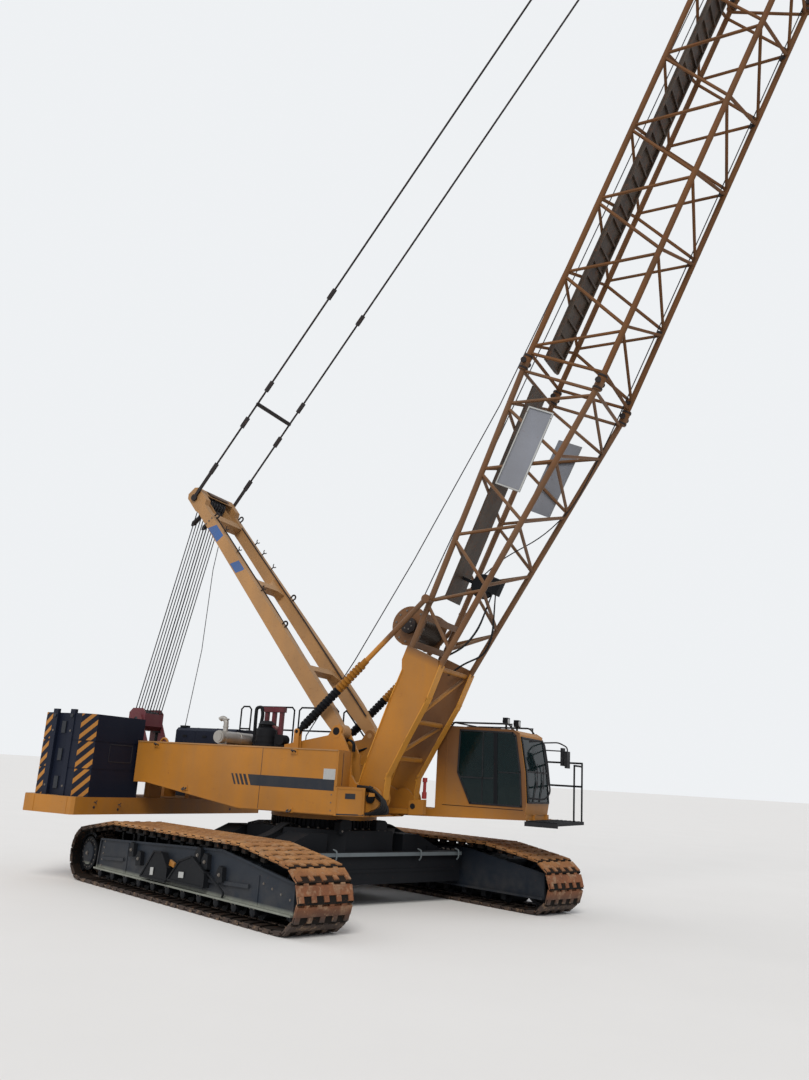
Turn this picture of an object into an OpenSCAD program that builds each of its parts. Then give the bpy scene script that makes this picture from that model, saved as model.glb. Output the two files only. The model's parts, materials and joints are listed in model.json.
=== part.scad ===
/* [Undercarriage] */
// Yaw of the tracks against the upper works, as parked
track_yaw = -19.35; // [-90:0.05:90]
// Distance between the two tracks' centre lines
track_gauge = 5520; // [5200:10:5900]
// Width of a track shoe
shoe_w = 990; // [800:10:1100]
// Distance from the swing axis to each end wheel's axle
end_wheel_x = 3150; // [3000:10:3400]
// Radius of a track's end over the shoes
end_r = 490; // [470:5:540]
// Height of the top run over the ground
top_run_z = 1150; // [1120:5:1250]
// Half the length of the level top run
top_run_half = 2050; // [1800:10:2200]
// Number of shoes in one track
shoe_count = 60; // [54:1:66]
// Height from the pin line to the outside of a shoe
pad_h = 70; // [60:1:80]
// Depth of a shoe inside the pin line
rail_h = 25; // [20:1:30]
// Number of bottom rollers under one side frame
roller_count = 11; // [8:1:12]
// Radius of a bottom roller
roller_r = 115; // [100:1:120]
// Overall width of a side frame
side_frame_w = 740; // [680:10:800]
// Height of the side frame's lower edge
side_frame_z = 270; // [255:5:290]
// Thickness of a side frame's plates
side_plate_t = 40; // [25:1:50]
// Height of the top of the carbody
carbody_top = 1260; // [1200:5:1300]

/* [Upper works] */
// Height of the underside of the main frame
frame_z = 1500; // [1480:5:1560]
// Height of the deck
deck_z = 2620; // [2550:5:2700]
// Half width over the side bodies
side_y = 1470; // [1400:10:1550]
// Rear end of the side bodies, behind the swing axis
side_rear = 3500; // [3450:5:3520]
// Front end of the side bodies, ahead of the swing axis
side_front = 1100; // [1000:10:1150]
// Inner face of each main web
web_in = 440; // [400:5:460]
// Outer face of each main web
web_out = 810; // [800:5:850]
// Thickness of a main web
web_t = 50; // [30:1:60]
// Radius of the slewing ring
ring_r = 1000; // [900:10:1100]

/* [Counterweight] */
// Front face of the counterweight slabs, behind the swing axis
cw_front = 3560; // [3540:10:3700]
// Rear face of the counterweight slabs
cw_rear = 4900; // [4700:10:5000]
// Outer face of the counterweight slabs
cw_out = 2750; // [2500:10:2850]
// Height of the counterweight slabs' underside
cw_z = 1530; // [1500:5:1560]
// Thickness of one slab
slab_h = 505; // [450:5:520]
// Number of slabs in one stack
slab_count = 3; // [1:1:3]
// Chamfer of the slabs' outer corners
cw_chamfer = 210; // [100:5:250]

/* [Boom] */
// Boom angle above level, as parked
boom_angle = 66; // [30:0.5:80]
// Boom foot pin, ahead of the swing axis
foot_x = 1430; // [1400:5:1500]
// Height of the boom foot pin
foot_z = 1830; // [1800:5:1900]
// Half distance between the boom's feet
foot_y = 600; // [590:5:610]
// Half distance between chord centres across the boom
chord_y = 863; // [800:1:900]
// Half distance between chord centres from back to front
chord_n = 760; // [700:1:800]
// Length of the boom's base section
base_l = 8330; // [8330:1:8400]
// Length of one insert section
insert_l = 9000; // [8500:10:9100]
// Length from foot pin to the end of the boom head
boom_l = 34000; // [33900:10:34300]
// Radius of a chord tube
chord_r = 55; // [50:1:60]
// Radius of a lacing tube
lace_r = 32; // [26:1:35]
// Spaces between lacing joints in one insert
insert_spaces = 11; // [9:2:13]
// Thickness of a boom leg's box
leg_t = 150; // [120:5:160]
// Radius of the boom foot pins
foot_pin_r = 70; // [50:1:80]

/* [Mast] */
// Mast foot pin, ahead of the swing axis
mast_x = 620; // [600:5:650]
// Height of the mast foot pin
mast_z = 2970; // [2950:5:3000]
// Length of the mast from foot pin to tip
mast_l = 6500; // [6400:10:6600]
// Mast angle above level towards the front, as parked
mast_angle = 130.6; // [120:0.1:135]
// Half distance between the mast's feet
mast_foot_y = 655; // [645:5:665]
// Half distance between the mast legs at the tip
mast_tip_y = 520; // [510:5:530]
// Depth of a mast leg
mast_leg_h = 320; // [280:10:330]

/* [Rigging] */
// Half distance between the two pendants
pendant_y = 622; // [618:1:630]
// Radius of a pendant rod
pendant_r = 22; // [16:1:26]
// Centre of the rear rope block, behind the swing axis
block_x = 4750; // [4700:10:4780]
// Height of the rear rope block's centre
block_z = 3110; // [3080:5:3150]
// Number of sheaves for the luffing ropes
luff_sheaves = 6; // [4:1:6]
// Radius of a luffing sheave
luff_r = 165; // [150:1:170]
// Radius of a wire rope
rope_r = 11; // [9:1:13]
// Length of each half of the luffing rope falls
luff_half_l = 3000; // [2600:10:3050]
// Half distance between the two backstops
backstop_y = 905; // [900:5:925]
// Backstop pin, ahead of the swing axis
backstop_x = -150; // [-200:5:-100]
// Height of the backstop pin
backstop_z = 2930; // [2900:5:2960]

/* [Hook] */
// Height of the head sheaves' shaft over the hook block's shaft
fall_l = 2100; // [1800:10:2400]
// Radius of the head and hook sheaves
head_r = 300; // [280:5:320]
// Number of head sheaves
head_sheaves_n = 4; // [2:1:5]

/* [Cab] */
// Rear of the cab, ahead of the swing axis
cab_rear = 1900; // [1880:10:1950]
// Inner side of the cab
cab_y0 = 860; // [850:5:900]
// Outer side of the cab
cab_y1 = 2150; // [2100:5:2200]
// Thickness of the cab's walls
cab_wall = 50; // [40:1:60]
// Thickness of the glass
glass_t = 8; // [6:1:12]

/* [Hidden] */

yellow = [0.86, 0.55, 0.10];
brown_yellow = [0.55, 0.36, 0.12];
navy = [0.09, 0.12, 0.20];
frame_blue = [0.16, 0.19, 0.27];
rust = [0.48, 0.29, 0.15];
black = [0.06, 0.06, 0.07];
maroon = [0.36, 0.10, 0.13];
pale_tan = [0.72, 0.56, 0.36];
silver = [0.72, 0.72, 0.70];
grey = [0.45, 0.47, 0.50];
white = [0.92, 0.92, 0.90];
red = [0.70, 0.10, 0.10];

touch = 0.3;
pin_gap = 0.05;
move_gap = 6;

function lerp(a, b, t) = a + (b - a) * t;
function unit(v) = v / norm(v);

// A straight bar of round or flat-sided section from a to b, rolled about its own axis
module rod(a, b, r, sides = 6, roll = 0) {
  d = b - a;
  l = norm(d);
  translate(a)
    rotate([0, acos(d.z / l), atan2(d.y, d.x)])
      rotate([0, 0, roll])
        cylinder(r = r, h = l, $fn = sides);
}

// A run of rods through a list of points, a little longer at the corners between them
module pipe_run(points, r, sides = 8) {
  last = len(points) - 2;
  for (i = [0 : last]) {
    d = unit(points[i + 1] - points[i]) * r * 0.5;
    rod(points[i] - (i > 0 ? d : [0, 0, 0]), points[i + 1] + (i < last ? d : [0, 0, 0]), r, sides);
  }
}

// A flat bar between two points of the XZ plane, centred on y
module strut(a, b, y, w, h) {
  d = b - a;
  translate([a.x, y, a.y])
    rotate([0, -atan2(d.y, d.x), 0])
      translate([0, -w / 2, -h / 2])
        cube([norm(d), w, h]);
}

// An outline of the XZ plane, thickened from y0 to y1
module side_plate(y0, y1) {
  translate([0, y1, 0]) rotate([90, 0, 0]) linear_extrude(y1 - y0) children();
}

// A plan of the XY plane, raised from z0 to z1
module block_up(z0, z1) {
  translate([0, 0, z0]) linear_extrude(z1 - z0) children();
}

// A cylinder along Y from y0 to y1
module y_cyl(x, z, r, y0, y1, sides = 48) {
  translate([x, y1, z]) rotate([90, 0, 0]) cylinder(r = r, h = y1 - y0, $fn = sides);
}

// The same piece on both sides of the machine
module both_sides() {
  children();
  mirror([0, 1, 0]) children();
}

// Track loop: bottom run, idler arc, slope, level top run, slope, sprocket arc
pin_r = end_r - pad_h;
top_pin_z = top_run_z - pad_h;
slope_vec = [top_run_half - end_wheel_x, top_pin_z - end_r];
slope_d = norm(slope_vec);
slope_turn = atan2(slope_vec.y, slope_vec.x) - acos(pin_r / slope_d);
arc_deg = 90 + slope_turn;
run_bottom = 2 * end_wheel_x;
run_arc = pin_r * arc_deg * PI / 180;
run_slope = sqrt(slope_d * slope_d - pin_r * pin_r);
run_top = 2 * top_run_half;
loop_l = run_bottom + 2 * run_arc + 2 * run_slope + run_top;
shoe_pitch = loop_l / shoe_count;
arc_end = [end_wheel_x + pin_r * cos(slope_turn), end_r + pin_r * sin(slope_turn)];
wheel_r = pin_r * cos(asin(shoe_pitch / 2 / pin_r)) - rail_h - 4;
rail_z = pad_h + rail_h;
roller_z = rail_z + touch + roller_r;

function front_half(s) =
  s < run_arc
    ? [end_wheel_x + pin_r * cos(s / run_arc * arc_deg - 90),
       end_r + pin_r * sin(s / run_arc * arc_deg - 90)]
    : s < run_arc + run_slope
      ? lerp(arc_end, [top_run_half, top_pin_z], (s - run_arc) / run_slope)
      : [top_run_half - (s - run_arc - run_slope), top_pin_z];
function flip_x(p) = [-p.x, p.y];
// Point of the pin line at length s from the middle of the bottom run
function loop_point(s) =
  s < end_wheel_x ? [s, pad_h]
  : s < loop_l / 2 ? front_half(s - end_wheel_x)
  : s < loop_l - end_wheel_x ? flip_x(front_half(loop_l - end_wheel_x - s))
  : [s - loop_l, pad_h];
pins = [for (i = [0 : shoe_count]) loop_point((i % shoe_count) * shoe_pitch)];

module track_outline() {
  difference() {
    polygon([
      for (i = [0 : shoe_count - 1])
        let (p = pins[i], q = pins[i + 1], d = unit(q - p), n = [d.y, -d.x])
          each [
            p + n * 12,
            p + d * 12 + n * (pad_h - 22),
            p + d * 24 + n * pad_h,
            q - d * 24 + n * pad_h,
            q - d * 12 + n * (pad_h - 22)
          ]
    ]);
    polygon([
      for (i = [0 : shoe_count - 1])
        let (p = pins[i], q = pins[i + 1], d = unit(q - p), n = [d.y, -d.x])
          each [p - n * rail_h + d * 30, q - n * rail_h - d * 30]
    ]);
  }
}
module track(side) {
  color(rust)
    rotate([0, 0, track_yaw])
      side_plate(side * track_gauge / 2 - shoe_w / 2, side * track_gauge / 2 + shoe_w / 2)
        track_outline();
}
module track_right() { track(-1); }
module track_left() { track(1); }

// Side frame, drawn with +Y away from the machine's middle
plate_out = side_frame_w / 2;
plate_in = plate_out - side_plate_t;
frame_front = end_wheel_x + 250;
frame_rear = -end_wheel_x + 480;
beam_low = side_frame_z + 130;
drive_r = 200;
idler_axle_r = 70;
module place_side(side) {
  rotate([0, 0, track_yaw])
    translate([0, side * track_gauge / 2, 0])
      mirror([0, side < 0 ? 1 : 0, 0])
        children();
}
module side_frame_outline() {
  polygon([
    [frame_rear, side_frame_z], [frame_front, side_frame_z],
    [frame_front, side_frame_z + 440], [1500, 985], [frame_rear + 60, 800]
  ]);
}
module inner_plate_outline() {
  difference() {
    union() {
      side_frame_outline();
      translate([-end_wheel_x, end_r]) circle(r = 340, $fn = 64);
      polygon([
        [-end_wheel_x, end_r - 200], [frame_rear + 100, side_frame_z],
        [frame_rear + 100, 800], [-end_wheel_x, end_r + 300]
      ]);
    }
    translate([-end_wheel_x, end_r]) circle(r = drive_r + touch, $fn = 64);
  }
}
module track_frame(side) {
  color(frame_blue)
    place_side(side) {
      difference() {
        union() {
          side_plate(plate_in, plate_out) side_frame_outline();
          side_plate(-plate_out, -plate_in) inner_plate_outline();
          side_plate(-plate_in - 1, plate_in + 1)
            polygon([
              [-2300, beam_low], [2450, beam_low], [2450, 860],
              [1500, 915], [-2300, 780]
            ]);
          for (s = [-1, 1])
            translate([frame_rear, s > 0 ? plate_out : -plate_out - 70, side_frame_z])
              cube([frame_front - frame_rear, 70, 28]);
          // gussets outside the plate
          side_plate(plate_out, plate_out + 110)
            polygon([[-790, 360], [40, 360], [40, 560], [-180, 770], [-420, 770]]);
          side_plate(plate_out, plate_out + 110)
            polygon([[110, 400], [1180, 400], [1180, 600], [760, 800], [420, 700]]);
        }
        y_cyl(end_wheel_x, end_r, idler_axle_r + touch, -plate_out - 1, plate_out + 1);
      }
    }
}
module track_frame_right() { track_frame(-1); }
module track_frame_left() { track_frame(1); }

roller_span = 2 * 2450;
carrier_x = [-1500, 0, 1500];
carrier_r = 60;
module rollers(side) {
  rail_top = top_pin_z - rail_h;
  color(black)
    place_side(side) {
      for (i = [0 : roller_count - 1]) {
        x = -roller_span / 2 + i * roller_span / (roller_count - 1);
        y_cyl(x, roller_z, roller_r, -240, 240);
        y_cyl(x, roller_z, 45, -plate_out + 2, plate_out - 2, 24);
        for (s = [-1, 1])
          translate([x - 55, s * (plate_out - 30) - 28, roller_z - 50])
            cube([110, 56, side_frame_z - roller_z + 50]);
      }
      for (x = carrier_x) {
        y_cyl(x, rail_top - touch - carrier_r, carrier_r, -160, 160);
        y_cyl(x, rail_top - touch - carrier_r, 30, -230, 230, 24);
        for (s = [-1, 1])
          translate([x - 40, s * 210 - 20, carrier_seat(x)])
            cube([80, 40, rail_top - 70 - carrier_seat(x)]);
      }
    }
}
// Highest point of the beam's top under a carrier roller's foot
function carrier_seat(x) = lerp(780, 915, (min(x + 40, 1500) + 2300) / 3800) + touch;
module rollers_right() { rollers(-1); }
module rollers_left() { rollers(1); }

module idlers() {
  color(frame_blue)
    for (side = [-1, 1])
      place_side(side)
        translate([end_wheel_x, 0, end_r])
          rotate([90, 0, 0]) {
            rotate_extrude($fn = 96)
              polygon([
                [0, -190], [110, -190], [110, -90], [wheel_r - 60, -90], [wheel_r - 60, -150],
                [wheel_r, -150], [wheel_r, 150], [wheel_r - 60, 150], [wheel_r - 60, 90],
                [110, 90], [110, 190], [0, 190]
              ]);
            cylinder(r = idler_axle_r, h = side_frame_w, center = true, $fn = 48);
          }
}

sprocket_teeth = 14;
hub_r = 250;
module sprockets() {
  color(rust)
    for (side = [-1, 1])
      place_side(side)
        translate([-end_wheel_x, 0, end_r])
          rotate([90, 0, 0])
            difference() {
              union() {
                cylinder(r = wheel_r - 45, h = 260, center = true, $fn = 96);
                for (i = [0 : sprocket_teeth - 1])
                  rotate([0, 0, i * 360 / sprocket_teeth])
                    translate([0, 0, -90])
                      linear_extrude(180)
                        polygon([[200, -50], [wheel_r, -22], [wheel_r, 22], [200, 50]]);
              }
              cylinder(r = hub_r + touch, h = 300, center = true, $fn = 96);
            }
}
module travel_drives() {
  color(black)
    for (side = [-1, 1])
      place_side(side) {
        y_cyl(-end_wheel_x, end_r, hub_r, -plate_in, 300, 96);
        y_cyl(-end_wheel_x, end_r, drive_r, -plate_out - 40, -plate_in + 1, 64);
        y_cyl(-end_wheel_x, end_r, 170, -plate_out - 330, -plate_out - 39, 64);
        y_cyl(-end_wheel_x, end_r, 300, 299, 330, 64);
      }
}

// Carbody: middle drum, four arms to the side frames, a beam across each end
arm_end = track_gauge / 2 - plate_out;
arm_x = 950;
arm_w = 600;
end_beam_x = 1380;
end_beam_half = track_gauge / 2 - shoe_w / 2 - 65;
module carbody() {
  rotate([0, 0, track_yaw]) {
    color(black)
      difference() {
        union() {
          translate([0, 0, 450])
            rotate([0, 0, 22.5])
              cylinder(r = 1450, h = carbody_top - 450, $fn = 8);
          for (x = [-arm_x, arm_x], s = [-1, 1]) side_arm(x, s);
          for (s = [-1, 1])
            translate([s * (end_beam_x + 60) - 60, -end_beam_half, 380])
              cube([120, 2 * end_beam_half, 540]);
          // brackets that carry the end beams on the arms
          for (y = [-1500, 1380], s = [-1, 1])
            translate([s * 1320 - 80, y, 500]) cube([160, 120, 350]);
        }
        translate([0, 0, 400]) cylinder(r = 500, h = 1000, $fn = 64);
      }
    color(grey)
      translate([end_beam_x + 119, -end_beam_half, 840]) cube([60, 2 * end_beam_half, 80]);
  }
}
module side_arm(x, s) {
  mirror([0, s < 0 ? 1 : 0, 0])
    translate([x - arm_w / 2, 0, 0])
      rotate([90, 0, 90])
        linear_extrude(arm_w)
          polygon([
            [900, 450], [arm_end, 450], [arm_end, 900], [arm_end - 500, 940],
            [1300, carbody_top - 60], [900, carbody_top - 60]
          ]);
}

// Slewing ring with its outer teeth
ring_teeth = 72;
ring_mid = carbody_top + 150;
module slew_ring() {
  color(black)
    rotate([0, 0, track_yaw])
      difference() {
        union() {
          translate([0, 0, carbody_top + touch])
            cylinder(r = ring_r - 50, h = ring_mid - carbody_top - touch, $fn = 96);
          for (i = [0 : ring_teeth - 1])
            rotate([0, 0, i * 360 / ring_teeth])
              translate([ring_r - 70, -22, carbody_top + 10])
                cube([60, 44, ring_mid - carbody_top - 20]);
        }
        translate([0, 0, carbody_top - 1])
          cylinder(r = ring_r - 200, h = ring_mid - carbody_top + 2, $fn = 96);
      }
}

// Main frame: two box beams of two webs each, on a bottom plate
frame_rear_x = -4850;
frame_rear_z = 1840;
web_top = deck_z - 20;
belly_x = 3150;
foot_lug_r = 200;
mast_pin_r = 50;
mast_lug_r = 105;
module web_outline() {
  difference() {
    union() {
      polygon([
        [frame_rear_x, frame_rear_z], [-belly_x, frame_rear_z], [-940, frame_z],
        [foot_x - 180, frame_z], [foot_x + 60, foot_z - 180], [foot_x, foot_z + 100],
        [foot_x - 150, foot_z + 160], [1090, 2080], [1000, 2200], [970, 2380],
        [970, web_top], [frame_rear_x, web_top]
      ]);
      translate([foot_x, foot_z]) circle(r = foot_lug_r, $fn = 64);
      polygon([
        [-500, web_top - 1], [930, web_top - 1], [mast_x + 100, mast_z - 20],
        [mast_x - 60, mast_z + 80], [450, web_top + 290], [-500, web_top + 90]
      ]);
      translate([mast_x, mast_z]) circle(r = mast_lug_r, $fn = 64);
    }
    translate([foot_x, foot_z]) circle(r = foot_pin_r, $fn = 64);
    translate([mast_x, mast_z]) circle(r = mast_pin_r, $fn = 64);
  }
}
backstop_pin_r = 35;
backstop_eye_half = 30;
backstop_lug_t = 25;
backstop_lug_gap = 1;
lug_foot = 60;
module backstop_lug_outline() {
  difference() {
    union() {
      polygon([
        [backstop_x - lug_foot, deck_z], [backstop_x + lug_foot, deck_z],
        [backstop_x + 50, backstop_z], [backstop_x - 50, backstop_z]
      ]);
      translate([backstop_x, backstop_z]) circle(r = 58, $fn = 48);
    }
    translate([backstop_x, backstop_z]) circle(r = backstop_pin_r, $fn = 48);
  }
}
module frame_side() {
  lug_y = backstop_eye_half + backstop_lug_gap;
  side_plate(web_in, web_in + web_t) web_outline();
  side_plate(web_out - web_t, web_out) web_outline();
  translate([frame_rear_x, web_in, frame_rear_z])
    cube([40, web_out - web_in, web_top - frame_rear_z]);
  side_plate(backstop_y + lug_y, backstop_y + lug_y + backstop_lug_t) backstop_lug_outline();
  side_plate(backstop_y - lug_y - backstop_lug_t, backstop_y - lug_y) backstop_lug_outline();
  translate([backstop_x - lug_foot, web_out - 100, deck_z])
    cube([2 * lug_foot, backstop_y + lug_y + backstop_lug_t - web_out + 100, 20]);
}
module main_frame() {
  color(yellow) {
    both_sides() frame_side();
    // bottom plate and the turning half of the slewing ring
    difference() {
      union() {
        translate([-1000, -web_out, frame_z]) cube([2250, 2 * web_out, 30]);
        translate([0, 0, ring_mid + touch])
          cylinder(r = ring_r, h = frame_z + 1 - ring_mid - touch, $fn = 96);
      }
      translate([0, 0, ring_mid - 1]) cylinder(r = 350, h = 300, $fn = 64);
    }
    // cross bearers under the engine, rear cross plate, front bulkhead
    for (x = [-2900, -2050])
      translate([x, -web_in - 1, 1860]) cube([100, 2 * web_in + 2, 100]);
    translate([frame_rear_x, -web_in - 1, frame_rear_z])
      cube([40, 2 * web_in + 2, web_top - frame_rear_z]);
    translate([900, -web_in - 1, frame_z]) cube([30, 2 * web_in + 2, 900]);
    // deck plate between the side bodies, open over the winches
    difference() {
      translate([-side_rear, -web_out, web_top - 1])
        cube([side_rear + 350, 2 * web_out, deck_z - web_top + 1]);
      translate([-900, -web_in + 20, web_top - 50]) cube([1050, 2 * web_in - 40, 100]);
    }
  }
}

// Side bodies: closed housings along both sides of the frame
nose_x = 1400;
nose_y = 970;
nose_h = 480;
side_front_z = frame_z + 20;
module side_body_outline() {
  polygon([
    [-side_rear, deck_z], [-side_rear, frame_rear_z], [-belly_x, frame_rear_z],
    [-940, frame_z + 5], [side_front, side_front_z], [side_front, deck_z]
  ]);
}
module side_body_right() {
  color(yellow) {
    // its front face slants back towards the frame
    difference() {
      side_plate(-side_y, -web_out) side_body_outline();
      block_up(frame_z, deck_z + 1)
        polygon([
          [side_front, -side_y], [970, 1 - web_out], [side_front + 1, 1 - web_out],
          [side_front + 1, -side_y]
        ]);
    }
    // nose ahead of it, beside the boom foot
    block_up(side_front_z, side_front_z + nose_h)
      polygon([
        [side_front - 1, -side_y], [nose_x, -nose_y], [nose_x - 60, -web_out],
        [900, -web_out], [900, -side_y + 100]
      ]);
  }
}
module side_body_left() { color(yellow) side_plate(web_out, side_y) side_body_outline(); }

hood_rear = 3340;
hood_l = 1500;
hood_h = 330;
hood_y0 = -600;
module engine_hood() {
  color(navy)
    translate([-hood_rear, 0, deck_z])
      rotate([90, 0, 90])
        linear_extrude(hood_l)
          polygon([
            [hood_y0, 0], [web_out, 0], [web_out, hood_h - 60], [web_out - 60, hood_h],
            [hood_y0 + 60, hood_h], [hood_y0, hood_h - 60]
          ]);
}
module engine() {
  color(grey) translate([-3000, -400, 1960]) cube([1150, 800, 600]);
}

// Counterweight tray, hung from the rear of the main frame
tray_z = 1220;
tray_out = cw_out + 120;
module counterweight_tray() {
  color(yellow) {
    block_up(tray_z, cw_z)
      polygon([
        [-cw_rear - 60, -tray_out + 150], [-cw_rear + 90, -tray_out], [-cw_front - 50, -tray_out],
        [-cw_front, -tray_out + 50], [-cw_front, tray_out - 50], [-cw_front - 50, tray_out],
        [-cw_rear + 90, tray_out], [-cw_rear - 60, tray_out - 150]
      ]);
    both_sides()
      for (x = [-4500, -3800])
        translate([x, web_in, cw_z - 1])
          cube([120, web_out - web_in, frame_rear_z - cw_z + 1]);
  }
}

// Counterweight stacks: slabs with chamfered outer corners and two lifting posts
cw_in = 1280;
slab_seam = 12;
post_w = 120;
recess_w = 330;
module slab_outline(inset) {
  polygon([
    [-cw_front - inset, cw_in + inset], [-cw_front - inset, cw_out - cw_chamfer],
    [-cw_front - cw_chamfer, cw_out - inset], [-cw_rear + cw_chamfer, cw_out - inset],
    [-cw_rear + inset, cw_out - cw_chamfer], [-cw_rear + inset, cw_in + inset]
  ]);
}
module counterweight_stack() {
  mid_x = -(cw_front + cw_rear) / 2;
  stack_h = slab_count * slab_h - slab_seam;
  difference() {
    union() {
      for (i = [0 : slab_count - 1])
        block_up(cw_z + i * slab_h, cw_z + (i + 1) * slab_h - slab_seam) slab_outline(0);
      block_up(cw_z, cw_z + stack_h) slab_outline(10);
    }
    translate([mid_x - recess_w / 2, cw_out - 60, cw_z - 1]) cube([recess_w, 100, stack_h + 2]);
  }
  for (s = [-1, 1])
    translate([mid_x + s * (recess_w + post_w) / 2 - post_w / 2, cw_out - 50, cw_z])
      cube([post_w, 65, stack_h + 70]);
}
module counterweight_right() { color(navy) mirror([0, 1, 0]) counterweight_stack(); }
module counterweight_left() { color(navy) counterweight_stack(); }

// Rear gantry, the rope block on it and its shaft's bearings
cheek_t = 15;
block_half_y = luff_sheaves * 44 + 22;
block_shaft_r = 45;
block_half_x = 230;
block_half_z = 230;
module place_block() { translate([-block_x, 0, block_z]) children(); }
module rear_gantry() {
  color(maroon) {
    difference() {
      for (s = [-1, 1])
        side_plate(s * (block_half_y + 15) - 15, s * (block_half_y + 15) + 15)
          polygon([
            [-block_x + 400, web_top + 29], [-block_x + 130, block_z + 90],
            [-block_x - 100, block_z + 90], [-block_x - 100, web_top + 29]
          ]);
      y_cyl(-block_x, block_z, block_shaft_r, -block_half_y - 50, block_half_y + 50);
    }
    translate([frame_rear_x, -web_out, web_top]) cube([500, 2 * web_out, 30]);
  }
}
module octagon_outline(hx, hz, cut) {
  polygon([
    [-hx, -hz + cut], [-hx + cut, -hz], [hx - cut, -hz], [hx, -hz + cut],
    [hx, hz - cut], [hx - cut, hz], [-hx + cut, hz], [-hx, hz - cut]
  ]);
}
module rear_rope_block() {
  color(maroon)
    place_block()
      difference() {
        union() {
          for (s = [-1, 1])
            side_plate(s * (block_half_y - cheek_t / 2) - cheek_t / 2,
                       s * (block_half_y - cheek_t / 2) + cheek_t / 2)
              octagon_outline(block_half_x, block_half_z, 90);
          side_plate(-block_half_y, block_half_y)
            difference() {
              octagon_outline(block_half_x, block_half_z, 90);
              octagon_outline(block_half_x - cheek_t, block_half_z - cheek_t, 84);
              rotate(fall_angle)
                translate([0, -luff_r - 30]) square([2 * block_half_x, 2 * luff_r + 60]);
            }
        }
        y_cyl(0, 0, block_shaft_r, -block_half_y - 1, block_half_y + 1);
      }
}

module deck_winches() {
  color(grey)
    for (x = [-1150, -330])
      translate([x, 0, 2240])
        rotate([90, 0, 0]) {
          cylinder(r = 80, h = 2 * web_in, center = true, $fn = 48);
          cylinder(r = 250, h = 2 * web_in - 60, center = true, $fn = 64);
          for (z = [-1, 1])
            translate([0, 0, z * (web_in - 50) - 15]) cylinder(r = 350, h = 30, $fn = 64);
        }
}

muffler_x = -1690;
muffler_y = -1300;
muffler_r = 115;
muffler_l = 1300;
pipe_r = 48;
module muffler() {
  muffler_z = deck_z + 30 + muffler_r;
  color(silver)
    translate([muffler_x, muffler_y, 0]) {
      translate([0, 0, muffler_z]) rotate([-90, 0, 0]) cylinder(r = muffler_r, h = muffler_l, $fn = 48);
      translate([0, 200, muffler_z]) cylinder(r = pipe_r, h = 265, $fn = 32);
      translate([-90, 200, muffler_z + 265])
        rotate([90, 0, 0])
          rotate_extrude(angle = 130, $fn = 48) translate([90, 0]) circle(r = pipe_r, $fn = 32);
      for (y = [120, muffler_l - 170])
        translate([-90, y, deck_z]) cube([180, 50, 80]);
    }
}
module air_cleaner() {
  color(black)
    translate([-1010, -700, deck_z]) {
      cylinder(r = 235, h = 60, $fn = 48);
      cylinder(r = 200, h = 330, $fn = 48);
      translate([0, 0, 329]) cylinder(r1 = 200, r2 = 110, h = 60, $fn = 48);
      translate([0, 0, 380]) cylinder(r = 100, h = 60, $fn = 48);
      translate([0, 0, 430]) cylinder(r1 = 180, r2 = 90, h = 70, $fn = 48);
    }
  color(black) {
    y_cyl(-630, deck_z + 150, 95, -800, -600, 32);
    translate([-760, -780, deck_z]) cube([70, 160, 250]);
    translate([-720, -780, deck_z]) cube([170, 160, 60]);
  }
}
module rope_guide_frame() {
  x0 = -1600;
  w = 490;
  top = deck_z + 820;
  color(maroon) {
    for (x = [x0 + 30, x0 + w / 2 - 35, x0 + w - 100])
      translate([x, -40, deck_z]) cube([70, 80, top - deck_z - 90]);
    translate([x0, -60, top - 100]) cube([w, 120, 100]);
    y_cyl(x0 + w / 2, deck_z + 330, 130, -80, 80, 32);
  }
}

rail_r = 18;
rail_y = side_y - 30;
// One loop of handrail per row: rear post, front post
rail_loops = [[-3290, -3020], [-2880, -1860], [-1730, -740]];
module deck_rails() {
  z0 = deck_z + touch;
  color(black) {
    for (p = rail_loops) {
      pipe_run([[p[0], rail_y, z0], [p[0], rail_y, deck_z + 880], [p[0] + 60, rail_y, deck_z + 940],
        [p[1] - 60, rail_y, deck_z + 940], [p[1], rail_y, deck_z + 880], [p[1], rail_y, z0]], rail_r);
      rod([p[0], rail_y, deck_z + 450], [p[1], rail_y, deck_z + 450], rail_r);
    }
    pipe_run([[-600, rail_y, z0], [-600, rail_y, deck_z + 850], [-540, rail_y, deck_z + 900],
      [250, rail_y, z0 + rail_r]], rail_r);
  }
}

// Cab: outline seen from the side, walls, windows and the sliding door
cab_z = 1690;
cab_front = 3720;
roof_front = cab_front - 270;
module cab_outline() {
  polygon([
    [cab_rear, cab_z], [cab_rear, 3150], [cab_rear + 60, 3230], [roof_front, 3190],
    [cab_front - 160, 3120], [cab_front - 40, 2450], [cab_front, 1900], [cab_front - 30, cab_z]
  ]);
}
// Top of the roof, with the clearance of what stands on it
function roof_z(x) = lerp(3230, 3190, (x - cab_rear - 60) / (roof_front - cab_rear - 60)) + touch;
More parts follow.
